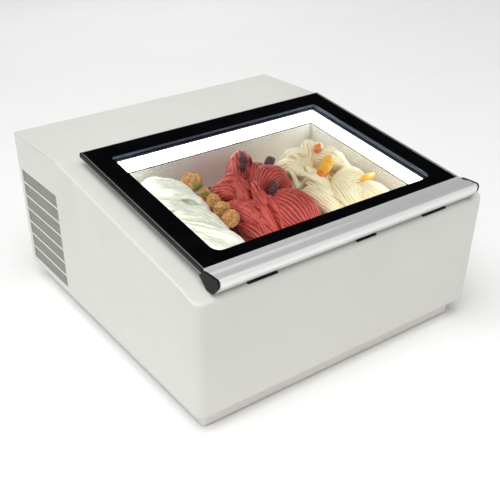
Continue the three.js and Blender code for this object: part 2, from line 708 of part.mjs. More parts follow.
function addHandle() {
  const barEnd = 285.8;
  const barOutline = handleOutline([[33.5, 277.4, 3], [37.2, 284], [36, 296], [36, HANDLE_TOP]]);
  const bar = prismX(barOutline, -barEnd, barEnd);
  const coreOutline = [[-3, 297, 2], [-4, 289, 3], [6, 277, 3], [20, 277, 3], [30, 281, 2], [31, 297, 2]];
  const core = prismX(coreOutline, -barEnd - 1, barEnd + 1);
  place('lid_handle', cut(bar, core), ALUMINIUM);
  for (const [side, sign] of SIDES) {
    const cap = prismX(
      handleOutline([[35, 277.6, 5], [39, 286, 4], [42.5, 291.2], [37.4, 290.6], [36, HANDLE_TOP]]),
      ...across(sign, barEnd + GAP, 291),
    );
    place(`handle_cap_${side}`, cap, BLACK);
  }
}

function addHinges() {
  for (const [side, sign] of SIDES) {
    const x = sign * HINGE_X;
    const base = box([x - 17, x + 17], [396, 416], [GAP, 2.6]);
    const ears = [-1, 1].map((ear) => {
      const xs = across(1, x + ear * 17, x + ear * 12.6);
      return prismX([[397.5, 2], [397.5, 12, 5], [HINGE_V, 16.4], [410.5, 12, 5], [414, 2]], ...xs, 4);
    });
    const pin = prismX(circle(HINGE_V, HINGE_N, 3, 20), x - 18.5, x + 18.5);
    place(`hinge_bracket_${side}`, join(base, ...ears, pin), BLACK, deckFrame);

    const knuckle = prismX(circle(HINGE_V, HINGE_N, 5.8, 20), x - 12, x + 12);
    const leaf = box([x - 12, x + 12], [391.4, HINGE_V], [8.4, 11.6]);
    const bore = prismX(circle(HINGE_V, HINGE_N, 3.4, 20), x - 13, x + 13);
    place(`hinge_leaf_${side}`, cut(join(knuckle, leaf), bore), BLACK, deckFrame);
  }
}

addBase();
addCase();
addRearPanel();
addWell();
addPans();
addMachine();
addRearFittings();
addFrontPieces();
addLid();
addHandle();
addHinges();

export default freezer;
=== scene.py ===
"""Looks of the countertop gelato freezer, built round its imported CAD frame."""

import math

import bmesh
import bpy
import numpy as np
from mathutils import Matrix, Vector
from mathutils.bvhtree import BVHTree


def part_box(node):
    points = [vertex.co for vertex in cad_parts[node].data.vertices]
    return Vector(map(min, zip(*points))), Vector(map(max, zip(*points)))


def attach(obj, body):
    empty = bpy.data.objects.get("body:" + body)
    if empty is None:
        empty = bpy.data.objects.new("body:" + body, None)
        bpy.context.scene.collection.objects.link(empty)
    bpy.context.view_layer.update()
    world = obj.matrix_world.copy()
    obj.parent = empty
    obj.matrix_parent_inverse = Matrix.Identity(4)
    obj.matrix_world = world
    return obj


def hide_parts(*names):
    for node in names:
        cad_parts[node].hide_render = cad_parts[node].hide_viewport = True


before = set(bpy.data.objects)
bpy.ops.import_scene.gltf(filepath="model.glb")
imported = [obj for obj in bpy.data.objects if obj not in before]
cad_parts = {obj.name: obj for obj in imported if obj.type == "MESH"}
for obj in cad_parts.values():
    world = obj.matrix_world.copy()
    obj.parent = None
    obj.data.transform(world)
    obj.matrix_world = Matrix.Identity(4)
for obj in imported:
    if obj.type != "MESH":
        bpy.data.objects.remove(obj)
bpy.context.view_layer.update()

# ---------------------------------------------------------------- places
# Places are in millimetres: x to the right, depth behind the front face, height above the floor.
# at() and deck() turn them into metres in the frame.

MM = 0.001
case_low, case_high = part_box("outer_case")
FRONT_Y = case_low.y
HALF_X = case_high.x / MM
DEPTH = (case_high.y - case_low.y) / MM
TOP_Z = case_high.z / MM
BOTTOM_Z = case_low.z / MM

SEAM = (47.0, 277.0)  # depth and height of the fold between the front strip and the deck
CREASE = (472.0, TOP_Z)  # depth and height where the deck meets the flat rear cover
STRIP_FRONT_Z = 265.0
SLOPE = math.atan2(CREASE[1] - SEAM[1], CREASE[0] - SEAM[0])
WELL_HALF_X = 252.0
WELL = (48.0, 410.0)  # depths of the front and rear wall of the well
PAN_PITCH = 165.5
LEFT_RIGHT = (("left", -1), ("right", 1))


def at(x, depth, z):
    return Vector((x * MM, FRONT_Y + depth * MM, z * MM))


def deck(x, v, n):
    """A point v along the sloping deck from its seam and n above it."""
    depth = SEAM[0] + v * math.cos(SLOPE) - n * math.sin(SLOPE)
    return at(x, depth, SEAM[1] + v * math.sin(SLOPE) + n * math.cos(SLOPE))


DECK_FRAME = Matrix.Translation(at(0, *SEAM)) @ Matrix.Rotation(SLOPE, 4, "X")


def top_height(depth):
    """Height of the case's upper face."""
    if depth < SEAM[0]:
        return STRIP_FRONT_Z + (SEAM[1] - STRIP_FRONT_Z) * depth / SEAM[0]
    if depth < CREASE[0]:
        return SEAM[1] + (depth - SEAM[0]) * math.tan(SLOPE)
    return CREASE[1]


# ---------------------------------------------------------------- camera, light and floor

CAMERA_PLACE = (-0.8329, -1.1226, 0.8831)
CAMERA_ANGLES = (32.89, 32.87, -1.71)  # yaw, pitch down and roll in degrees
LENS = 54.7
SHIFT = 0.104
CARD_DIRECTION = (0.457, 0.516, 0.725)  # where the lid's glass mirrors the camera's view
CARD_EDGE = (0.62, 0.84)  # cosine of the angle from it at which the card starts and is whole
ROOM_STRENGTH = 0.66
BACKDROP = (1.45, 1.45, 1.44, 1)
FLOOR_HALF = 8


def add_camera():
    """The main view: over the front left corner, looking down across the lid."""
    yaw, pitch, roll = (math.radians(angle) for angle in CAMERA_ANGLES)
    forward = Vector((math.sin(yaw) * math.cos(pitch), math.cos(yaw) * math.cos(pitch), -math.sin(pitch)))
    level = Vector((math.cos(yaw), -math.sin(yaw), 0))
    lift = level.cross(forward)
    right = math.cos(roll) * level + math.sin(roll) * lift
    up = math.cos(roll) * lift - math.sin(roll) * level
    camera = placed("camera", bpy.data.cameras.new("camera"))
    turn = Matrix((right, up, -forward)).transposed().to_4x4()
    camera.matrix_world = Matrix.Translation(CAMERA_PLACE) @ turn
    camera.data.lens = LENS
    camera.data.shift_x = camera.data.shift_y = SHIFT
    bpy.context.scene.camera = camera


def placed(name, data):
    """A new object of this data in the scene."""
    made = bpy.data.objects.new(name, data)
    bpy.context.scene.collection.objects.link(made)
    return made


def aim(direction):
    """The turn that points a lamp along a direction."""
    return direction.to_track_quat("-Z", "Y").to_euler()


def add_softbox(name, place, target, size, watts):
    lamp = bpy.data.lights.new(name, "AREA")
    lamp.shape = "RECTANGLE"
    lamp.size, lamp.size_y = size
    lamp.energy = watts
    box = placed(name, lamp)
    box.location = place
    box.rotation_euler = aim(Vector(target) - Vector(place))


def add_studio():
    """A pale floor in a white room, with soft lamps and a dark card that only reflections show."""
    scene = bpy.context.scene
    scene.view_settings.view_transform = "Standard"
    world = bpy.data.worlds.new("studio")
    scene.world = world
    world.use_nodes = True
    tree = world.node_tree
    background = tree.nodes["Background"]
    place = tree.nodes.new("ShaderNodeTexCoord")
    toward = tree.nodes.new("ShaderNodeVectorMath")
    toward.operation = "DOT_PRODUCT"
    toward.inputs[1].default_value = CARD_DIRECTION
    ramp = tree.nodes.new("ShaderNodeValToRGB")
    ramp.color_ramp.elements[0].position = CARD_EDGE[0]
    ramp.color_ramp.elements[0].color = (1.0, 1.0, 0.995, 1)
    ramp.color_ramp.elements[1].position = CARD_EDGE[1]
    ramp.color_ramp.elements[1].color = (0.012, 0.012, 0.014, 1)
    tree.links.new(place.outputs["Generated"], toward.inputs[0])
    tree.links.new(toward.outputs["Value"], ramp.inputs[0])
    backdrop = tree.nodes.new("ShaderNodeMix")
    backdrop.data_type = "RGBA"
    tree.links.new(tree.nodes.new("ShaderNodeLightPath").outputs["Is Camera Ray"], backdrop.inputs[0])
    tree.links.new(ramp.outputs[0], backdrop.inputs[6])
    backdrop.inputs[7].default_value = BACKDROP
    tree.links.new(backdrop.outputs[2], background.inputs["Color"])
    background.inputs["Strength"].default_value = ROOM_STRENGTH

    centre = (0, 0, 0.2)
    add_softbox("overhead_lamp", (-0.5, -0.5, 2.2), centre, (2.0, 1.8), 22)
    add_softbox("left_lamp", (-2.6, 0.3, 1.3), centre, (1.8, 1.8), 3.5)
    add_softbox("rear_lamp", (1.5, 2.8, 1.2), centre, (1.6, 1.0), 4)
    sky = bpy.data.lights.new("ceiling_glow", "SUN")
    sky.energy = 1.15
    sky.angle = math.radians(60)
    glow = placed("ceiling_glow", sky)
    glow.rotation_euler = aim(Vector((0.35, 0.1, -0.93)))

    bm = bmesh.new()
    bmesh.ops.create_grid(bm, x_segments=8, y_segments=8, size=FLOOR_HALF)
    floor = mesh_object("studio_floor", bm)
    floor.data.materials.append(floor_paper())


# ---------------------------------------------------------------- mesh helpers


def mesh_object(name, bm):
    """A new object from a bmesh, with smooth faces and sharp edges kept sharp."""
    mesh = bpy.data.meshes.new(name)
    bmesh.ops.recalc_face_normals(bm, faces=bm.faces)
    bm.to_mesh(mesh)
    bm.free()
    mesh.shade_smooth()
    mesh.set_sharp_from_angle(angle=math.radians(35))
    return placed(name, mesh)


def from_arrays(name, points, faces, grooves=None):
    """A new object from point and face lists; grooves holds how deep in a groove each point lies."""
    mesh = bpy.data.meshes.new(name)
    mesh.from_pydata([tuple(p) for p in points], [], [tuple(f) for f in faces])
    if grooves is not None:
        held = mesh.attributes.new("groove", "FLOAT", "POINT")
        held.data.foreach_set("value", np.asarray(grooves, np.float32))
    mesh.validate()
    mesh.shade_smooth()
    return placed(name, mesh)


def soften(piece, width, segments=2, angle=38):
    """Rounds the piece's edges, as folded or moulded edges are, with even shading on its flats."""
    if width:
        bevel = piece.modifiers.new("rounded_edges", "BEVEL")
        bevel.width = width * MM
        bevel.segments = segments
        bevel.limit_method = "ANGLE"
        bevel.angle_limit = math.radians(angle)
        bevel.use_clamp_overlap = True
    weigh = piece.modifiers.new("even_shading", "WEIGHTED_NORMAL")
    weigh.keep_sharp = True
    return piece


def dress(piece, body, material, replaces=()):
    """Puts the piece on its body, in its material, in place of its CAD nodes."""
    piece.data.materials.clear()
    piece.data.materials.append(material)
    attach(piece, body)
    if replaces:
        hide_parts(*replaces)
    return piece


def cad_mesh(node):
    """The node's own shape with its flat faces whole again."""
    bm = bmesh.new()
    bm.from_mesh(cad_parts[node].data)
    bmesh.ops.remove_doubles(bm, verts=bm.verts, dist=2e-6)
    bmesh.ops.dissolve_limit(bm, angle_limit=math.radians(0.8), verts=bm.verts, edges=bm.edges)
    return bm


def refine(node, body, material, edge=0.4, segments=2):
    """A finished copy of a CAD node, with rounded edges."""
    piece = soften(mesh_object(f"{node}_finished", cad_mesh(node)), edge, segments)
    for layer in list(piece.data.uv_layers):
        piece.data.uv_layers.remove(layer)
    return dress(piece, body, material, [node])


def thicken(piece, thickness, even=True):
    """Gives a sheet its thickness, behind its outer face."""
    solid = piece.modifiers.new("sheet", "SOLIDIFY")
    solid.thickness = thickness * MM
    solid.offset = -1
    solid.use_even_offset = even


def arc(centre, radius, start, end, steps):
    """Points of an arc, from start to end in degrees."""
    turn = [math.radians(start + (end - start) * i / steps) for i in range(steps + 1)]
    return [(centre[0] + radius * math.cos(a), centre[1] + radius * math.sin(a)) for a in turn]


def rounded_rectangle(x0, x1, y0, y1, radii, steps=6):
    """Outline with its own radius at each corner: front right, rear right, rear left, front left."""
    corners = (
        ((x1, y0), (-1, 1), -90),
        ((x1, y1), (-1, -1), 0),
        ((x0, y1), (1, -1), 90),
        ((x0, y0), (1, 1), 180),
    )
    outline = []
    for ((x, y), (sx, sy), start), r in zip(corners, radii):
        outline += arc((x + sx * r, y + sy * r), r, start, start + 90, steps) if r else [(x, y)]
    return outline


def plate(name, loops, low, high, edge=0.0, placing=None):
    """A flat plate between two heights, from an outline and any holes in it."""
    curve = bpy.data.curves.new(name, "CURVE")
    curve.dimensions = "2D"
    curve.fill_mode = "BOTH"
    curve.extrude = ((high - low) / 2 - edge) * MM
    curve.bevel_depth = edge * MM
    curve.offset = -edge * MM
    curve.bevel_resolution = 1
    for loop in loops:
        line = curve.splines.new("POLY")
        line.points.add(len(loop) - 1)
        for point, (x, y) in zip(line.points, loop):
            point.co = (x * MM, y * MM, 0, 1)
        line.use_cyclic_u = True
    shaped = placed(name, curve)
    final = shaped.evaluated_get(bpy.context.evaluated_depsgraph_get())
    bm = bmesh.new()
    bm.from_mesh(bpy.data.meshes.new_from_object(final))
    bpy.data.objects.remove(shaped)
    bmesh.ops.remove_doubles(bm, verts=bm.verts, dist=1e-6)
    lift = Matrix.Translation((0, 0, (low + high) / 2 * MM))
    bmesh.ops.transform(bm, matrix=(placing or DECK_FRAME) @ lift, verts=bm.verts)
    return mesh_object(name, bm)


def join(bm, a, b, closed=False):
    """Adds the faces between two rows of as many vertices."""
    for i in range(len(a) if closed else len(a) - 1):
        j = (i + 1) % len(a)
        bm.faces.new((a[i], a[j], b[j], b[i]))


def bar(name, near, far):
    """A solid bar between two matching outlines."""
    bm = bmesh.new()
    ends = [[bm.verts.new(point) for point in outline] for outline in (near, far)]
    bm.faces.new(ends[0])
    bm.faces.new(ends[1][::-1])
    join(bm, *ends, closed=True)
    return mesh_object(name, bm)


def section(name, outline, x0, x1, place=at):
    """A bar along x, from an outline of the two numbers that place takes after x."""
    return bar(name, *([place(x, a, b) for a, b in outline] for x in (x0, x1)))


def along_lid(name, outline, start, end):
    """A bar along the lid's side, from an outline of (x, height above the deck) points."""
    return bar(name, *([deck(x, v, n) for x, n in outline] for v in (start, end)))


def turned(place, turn):
    """Matrix that turns a piece about x, y and z, by degrees, and moves it to its place."""
    matrix = Matrix.Translation(at(*place))
    for degrees, axis in zip(reversed(turn), "ZYX"):
        matrix = matrix @ Matrix.Rotation(math.radians(degrees), 4, axis)
    return matrix


def smooth_noise(points, size, seed, layers=3):
    """Soft seeded noise, about -1 to 1, at each point, with features about size across."""
    rng = np.random.default_rng(seed)
    total = np.zeros(len(points))
    weight = 0.0
    for layer in range(layers):
        scale = 2 * math.pi / size * 1.9**layer
        for _ in range(5):
            way = rng.normal(size=3)
            way *= scale * rng.uniform(0.6, 1.1) / np.linalg.norm(way)
            total += np.sin(points @ way + rng.uniform(0, 6.28)) * 0.55**layer
        weight += 0.55**layer
    return total / (weight * 2.6)


# ---------------------------------------------------------------- materials


class Finish:
    """A node material under construction round one Principled shader."""

    def __init__(self, name, **values):
        self.material = bpy.data.materials.new(name)
        self.material.use_nodes = True
        self.tree = self.material.node_tree
        self.shader = self.tree.nodes["Principled BSDF"]
        for socket, value in values.items():
            self.shader.inputs[socket.replace("_", " ")].default_value = value
        self.coordinates = self.node("ShaderNodeTexCoord").outputs["Object"]
        self.normal = None

    def node(self, kind, **inputs):
        made = self.tree.nodes.new(kind)
        for socket, value in inputs.items():
            self.put(made.inputs[socket.replace("_", " ")], value)
        return made

    def put(self, socket, value):
        if isinstance(value, bpy.types.NodeSocket):
            self.tree.links.new(value, socket)
        else:
            socket.default_value = value

    def stretched(self, scale):
        """Object coordinates scaled by a different amount along each axis."""
        mapping = self.node("ShaderNodeMapping", Vector=self.coordinates)
        mapping.inputs["Scale"].default_value = scale
        return mapping.outputs[0]

    def noise(self, scale, detail=3.0, roughness=0.5, where=None, distortion=0.0):
        made = self.node(
            "ShaderNodeTexNoise",
            Vector=where or self.coordinates,
            Scale=scale,
            Detail=detail,
            Roughness=roughness,
            Distortion=distortion,
        )
        return made.outputs[0]

    def voronoi(self, scale, feature="F1", randomness=1.0, where=None):
        made = self.node(
            "ShaderNodeTexVoronoi", Vector=where or self.coordinates, Scale=scale, Randomness=randomness
        )
        made.feature = feature
        return made.outputs["Distance"]

    def spread(self, value, low, high, start=0.3, end=0.7):
        """The value taken from start..end to low..high."""
        made = self.node("ShaderNodeMapRange", Value=value)
        for socket, number in (("From Min", start), ("From Max", end), ("To Min", low), ("To Max", high)):
            made.inputs[socket].default_value = number
        return made.outputs[0]

    def attribute(self, name):
        made = self.node("ShaderNodeAttribute")
        made.attribute_name = name
        return made.outputs["Fac"]

    def blend(self, share, first, second):
        """Colour mixed from first to second by share."""
        made = self.node("ShaderNodeMix")
        made.data_type = "RGBA"
        self.put(made.inputs[0], share)
        for socket, colour in ((made.inputs[6], first), (made.inputs[7], second)):
            self.put(socket, (*colour, 1) if isinstance(colour, tuple) else colour)
        return made.outputs[2]

    def colour(self, value):
        self.put(self.shader.inputs["Base Color"], value)
        return self

    def rough(self, value, low, high, start=0.3, end=0.7):
        self.put(self.shader.inputs["Roughness"], self.spread(value, low, high, start, end))
        return self

    def bump(self, height, distance, strength=1.0):
        """Adds relief: distance is its depth in millimetres."""
        made = self.node("ShaderNodeBump", Height=height, Strength=strength, Distance=distance * MM)
        if self.normal is not None:
            self.put(made.inputs["Normal"], self.normal)
        self.normal = made.outputs[0]
        self.put(self.shader.inputs["Normal"], self.normal)
        return self


def tint(red, green, blue):
    """Linear colour from the everyday 0 to 255 scale."""
    shares = (c / 255 for c in (red, green, blue))
    return tuple(c / 12.92 if c <= 10 / 255 else ((c + 0.055) / 1.055) ** 2.4 for c in shares)


def painted(name, colour, roughness=0.4, peel=0.012):
    """Powder coat: fine orange peel, faint cloudiness and a slightly uneven gloss."""
    f = Finish(name, Specular_IOR_Level=0.3)
    dull = tuple(c * 0.955 for c in colour)
    f.colour(f.blend(f.spread(f.noise(7, 4), 0, 1), colour, dull))
    f.rough(f.noise(38, 3), roughness - 0.05, roughness + 0.07)
    f.bump(f.noise(900, 2, 0.6), peel)
    f.bump(f.noise(5, 1), 0.25, 0.5)
    return f.material


def moulded(name, colour, roughness=0.5, grain=0.03, scale=1500):
    """Moulded plastic or rubber with a spark-eroded grain."""
    f = Finish(name, Specular_IOR_Level=0.22)
    pale = tuple(min(1, c * 1.4 + 0.002) for c in colour)
    f.colour(f.blend(f.spread(f.noise(60, 5), 0, 0.7), colour, pale))
    f.rough(f.noise(120, 3), roughness - 0.08, roughness + 0.1)
    f.bump(f.voronoi(scale), grain)
    return f.material


def brushed(name, colour, along, roughness=0.3, lines=2600, metal=1.0, streak=0.07):
    """Metal brushed along one axis: along is its index."""
    f = Finish(name, Metallic=metal)
    scale = [lines] * 3
    scale[along] = lines / 130
    hair = f.noise(1, 4, 0.65, f.stretched(scale))
    dark = tuple(c * (1 - streak * 1.6) for c in colour)
    f.colour(f.blend(f.spread(hair, 0, 1), colour, dark))
    f.rough(hair, roughness - streak, roughness + streak)
    f.bump(hair, 0.006)
    f.bump(f.noise(30, 2), 0.05, 0.4)
    return f.material


def floor_paper():
    f = Finish("floor_paper", Roughness=0.75)
    f.colour(f.blend(f.spread(f.noise(3, 4), 0, 1), (0.95, 0.95, 0.945), (0.93, 0.93, 0.925)))
    f.bump(f.noise(700, 2), 0.05, 0.4)
    return f.material


def frit_black():
    """Black ceramic print behind glass: deep, glossy, with faint wipe marks."""
    f = Finish("black_printed_glass", IOR=1.5, Specular_IOR_Level=0.35)
    f.colour(f.blend(f.spread(f.noise(20, 3), 0, 1), (0.0012, 0.0012, 0.0015), (0.0025, 0.0025, 0.003)))
    f.rough(f.noise(9, 4, 0.6, f.stretched((3, 14, 14))), 0.03, 0.09)
    return f.material


def clear_glass(name):
    """Clear glass: what lies behind it, under a gloss with faint wipe marks."""
    f = Finish(name, Metallic=1.0)
    f.shader.inputs["Base Color"].default_value = (0.96, 0.98, 0.975, 1)
    f.rough(f.noise(11, 4, 0.6), 0.0, 0.03)
    clear = f.node("ShaderNodeBsdfTransparent")
    clear.inputs["Color"].default_value = (0.985, 0.99, 0.985, 1)
    rim = f.node("ShaderNodeLayerWeight", Blend=0.5)
    steep = f.node("ShaderNodeMath")
    steep.operation = "POWER"
    f.put(steep.inputs[0], rim.outputs["Facing"])
    steep.inputs[1].default_value = 5
    mix = f.node("ShaderNodeMixShader", Fac=f.spread(steep.outputs[0], 0.02, 1, 0, 1))
    f.tree.links.new(clear.outputs[0], mix.inputs[1])
    f.tree.links.new(f.shader.outputs[0], mix.inputs[2])
    f.tree.links.new(mix.outputs[0], f.tree.nodes["Material Output"].inputs["Surface"])
    return f.material


def opal_light():
    """Opal acrylic lit from behind, its glow a little uneven at random in brightness and tint."""
    f = Finish("lit_opal_acrylic", Roughness=0.35, Emission_Strength=5.4)
    glow = f.blend(f.spread(f.noise(16, 2), 0, 1), (1.0, 1.0, 0.98), (0.93, 0.96, 1.0))
    f.colour(f.blend(f.spread(f.noise(200, 2), 0, 1), (0.93, 0.94, 0.95), (0.9, 0.91, 0.92)))
    f.put(f.shader.inputs["Emission Color"], glow)
    return f.material


def gelato(name, ridge_highlight, body, groove, wet=0.42):
    """Churned ice cream with fine ice crystals: painted highlight on its ridges and painted shade in its
    grooves.
    """
    f = Finish(name, Subsurface_Weight=0.12, Subsurface_Scale=0.0015, Specular_IOR_Level=0.45)
    f.shader.inputs["Subsurface Radius"].default_value = (1.0, 0.6, 0.4)
    swirl = f.noise(26, 5, 0.6, distortion=1.2)
    # the ridge colour is a painted highlight on the crests, mixed at random with the body colour
    crest = f.blend(f.spread(swirl, 0, 0.6), ridge_highlight, body)
    flank = f.blend(f.spread(f.attribute("groove"), 0, 1, 0.0, 0.3), crest, body)
    # the groove colour is painted shade, strongest deepest in the grooves
    f.colour(f.blend(f.spread(f.attribute("groove"), 0, 0.95, 0.25, 0.85), flank, groove))
    f.rough(f.noise(90, 4), wet - 0.1, wet + 0.16)
    f.bump(f.noise(420, 5, 0.7), 0.35)
    f.bump(f.noise(95, 4, 0.6), 0.8, 0.7)
    return f.material


def crumb(name, crust, deep):
    """Baked biscuit: cracked, sugary and uneven."""
    f = Finish(name)
    f.colour(f.blend(f.spread(f.noise(230, 6, 0.75), 0, 1, 0.38, 0.62), crust, deep))
    f.rough(f.noise(200, 3), 0.6, 0.85)
    f.bump(f.noise(260, 6, 0.75), 3.0)
    f.bump(f.voronoi(210, "DISTANCE_TO_EDGE"), 0.5, 0.6)
    return f.material


def juicy(name, colour, deep, roughness=0.22, scale=120):
    """Wet fruit flesh or skin."""
    f = Finish(name, Subsurface_Weight=0.25, Subsurface_Scale=0.004, Coat_Weight=0.35, Coat_Roughness=0.12)
    f.colour(f.blend(f.spread(f.noise(scale, 5, 0.6), 0, 1), colour, deep))
    f.rough(f.noise(90, 3), roughness, roughness + 0.2)
    f.bump(f.noise(330, 4), 0.3)
    return f.material


def foamed():
    f = Finish("rigid_foam", Roughness=0.95)
    f.colour(f.blend(f.spread(f.noise(50, 4), 0, 1), tint(231, 214, 170), tint(212, 190, 140)))
    f.bump(f.voronoi(700), 0.4)
    return f.material


PAINT = painted("case_powder_coat", tint(213, 212, 207))
PLINTH = painted("plinth_powder_coat", tint(222, 220, 214), 0.48)
BLACK_PAINT = painted("black_enamel", (0.012, 0.012, 0.013), 0.33, 0.02)
RUBBER = moulded("black_rubber", (0.006, 0.006, 0.006), 0.75, 0.05, 900)
BLACK = moulded("black_moulded_plastic", (0.004, 0.004, 0.0045), 0.42, 0.02)
CAP_FACE = moulded("grained_cap_face", tint(30, 30, 30), 0.6, 0.06, 1100)
GREY = moulded("grey_moulded_plastic", tint(94, 97, 100), 0.5, 0.03)
SLATE = moulded("slate_spacer_plastic", tint(96, 108, 132), 0.4, 0.015)
DARK_SLATE = moulded("dark_slate_plastic", tint(50, 56, 70), 0.42, 0.015)
GASKET = moulded("lid_gasket_rubber", tint(96, 106, 124), 0.6, 0.03, 900)
HANDLE_METAL = brushed("brushed_anodised_aluminium", tint(242, 242, 241), 0, 0.36, metal=0.58)
TRIM_METAL = brushed("brushed_trim_aluminium", tint(222, 222, 220), 1, 0.3)
LINER_STEEL = brushed("satin_liner_steel", tint(232, 231, 227), 2, 0.5, 1800, 0.12, 0.04)
PAN_STEEL = brushed("polished_pan_steel", tint(214, 212, 208), 1, 0.2, 1500)
ZINC = brushed("zinc_plated_sheet", tint(170, 172, 175), 2, 0.42, 900, 1.0, 0.1)
MESH_METAL = painted("grille_grey_enamel", tint(166, 165, 157), 0.5, 0.02)
COPPER = brushed("drawn_copper", tint(196, 118, 72), 2, 0.3, 1200, 1.0, 0.1)
FIN_METAL = brushed("condenser_aluminium", tint(196, 197, 198), 2, 0.35, 1600)
FOAM = foamed()
OPAL = opal_light()
LED_BOARD = painted("led_circuit_board", tint(226, 226, 218), 0.5)
FRIT = frit_black()
CLEAR = clear_glass("outer_clear_glass")
INNER_CLEAR = clear_glass("inner_clear_glass")


# ---------------------------------------------------------------- painted case

CORNER_R = 16.0
SIDE_R = 3.3
FRONT_R = 6.0
SHEET = 2.0
COVER = 3.0
OPENING_X = WELL_HALF_X + 6.3
OPENING = (WELL[0] - 4.3, WELL[1] + 6.3)
GRILLE = (490.0, 657.0)
GRILLE_Z = (54.0, 263.0)
GRILLE_ROWS = 7
GRILLE_BAR = 3.5
GROOVE = 0.6  # half width and depth of the seam across the front
HOLE_R = 1.8
HOLE_PITCH = 4.6
STAGGER = 0.1  # share of the pitch by which rows of holes shift


def grille_levels():
    """Lower and upper edge of each row of the grille."""
    pitch = (GRILLE_Z[1] - GRILLE_Z[0] + GRILLE_BAR) / GRILLE_ROWS
    return [(GRILLE_Z[0] + i * pitch, GRILLE_Z[0] + (i + 1) * pitch - GRILLE_BAR) for i in range(GRILLE_ROWS)]


def case_columns():
    """The wall's plan, from the crease on the left round the front to the crease on the right.

    Each column has its x and depth, the inward direction and the radius of the edge above it."""
    stops = [CREASE[0], OPENING[1], 300, 180, SEAM[0] + GROOVE, SEAM[0], SEAM[0] - GROOVE]
    stops += [OPENING[0], 30]
    side = [(-HALF_X, d, (1, 0), SIDE_R) for d in stops]
    corner = []
    for x, y in arc((-HALF_X + CORNER_R, CORNER_R), CORNER_R, 180, 270, 10):
        way = ((-HALF_X + CORNER_R - x) / CORNER_R, (CORNER_R - y) / CORNER_R)
        corner.append((x, y, way, SIDE_R + (FRONT_R - SIDE_R) * way[1]))
    across = [(x, 0, (0, 1), FRONT_R) for x in (-200, -100)]
    left = side + corner + across
    right = [(-x, y, (-way[0], way[1]), r) for x, y, way, r in reversed(left)]
    return left + [(0, 0, (0, 1), FRONT_R)] + right


def add_case():
    """One bent sheet: walls with open grille rows, rounded upper edges, and the deck round the well."""
    bm = bmesh.new()
    levels = [BOTTOM_Z] + [z for pair in grille_levels() for z in pair] + [TOP_Z - SIDE_R]
    turns = [math.radians(90 * i / 6) for i in range(7)]
    columns = []
    for x, y, way, r in case_columns():
        notch = GROOVE if abs(y - SEAM[0]) < 0.01 else 0.0
        wall_top = top_height(y) - notch - r
        share = [(z - BOTTOM_Z) / (levels[-1] - BOTTOM_Z) for z in levels]
        column = [bm.verts.new(at(x, y, BOTTOM_Z + s * (wall_top - BOTTOM_Z))) for s in share]
        for turn in turns[1:]:
            inward = r * (1 - math.cos(turn))
            px, py = x + way[0] * inward, y + way[1] * inward
            column.append(bm.verts.new(at(px, py, top_height(py) - notch - r * (1 - math.sin(turn)))))
        columns.append(column)
    for a, b in zip(columns, columns[1:]):
        join(bm, a, b)

    for column, sign in ((columns[0], -1), (columns[-1], 1)):
        lines = [column[: len(levels)]]
        for depth in (*GRILLE, DEPTH):
            lines.append([bm.verts.new(at(sign * HALF_X, depth, z)) for z in levels])
        for a, b in zip(lines, lines[1:]):
            for i in range(len(levels) - 1):
                if a is lines[1] and i % 2 == 1:
                    continue
                bm.faces.new((a[i], b[i], b[i + 1], a[i + 1]))

    rim = [column[-1] for column in columns]
    last = len(rim) - 1
    corners = {}
    for sign in (-1, 1):
        for i in range(1, 8):
            depth = case_columns()[i][1]
            notch = GROOVE if abs(depth - SEAM[0]) < 0.01 else 0.0
            corners[sign, i] = bm.verts.new(at(sign * OPENING_X, depth, top_height(depth) - notch))
    for sign, order in ((-1, lambda i: i), (1, lambda i: last - i)):
        for i in range(1, 7):
            bm.faces.new((rim[order(i)], rim[order(i + 1)], corners[sign, i + 1], corners[sign, i]))
    bm.faces.new((rim[0], rim[1], corners[-1, 1], corners[1, 1], rim[last - 1], rim[last]))
    bm.faces.new((*rim[7 : last - 6], corners[1, 7], corners[-1, 7]))
    shell = mesh_object("case_shell", bm)
    thicken(shell, SHEET)
    dress(soften(shell, 0.35, 2, 50), "cabinet", PAINT, ["outer_case"])

    edge = [(CREASE[0] + 0.3, TOP_Z - COVER), (DEPTH, TOP_Z - COVER)]
    edge += arc((DEPTH - 2.0, TOP_Z - 2.0), 2.0, 0, 90, 5)
    edge += arc((CREASE[0] + 0.3 + 0.9, TOP_Z - 0.9), 0.9, 90, 180, 4)
    cover = section("rear_cover_skin", edge, -HALF_X, HALF_X)
    dress(soften(cover, 1.9, 4, 60), "cabinet", PAINT, ["rear_cover"])


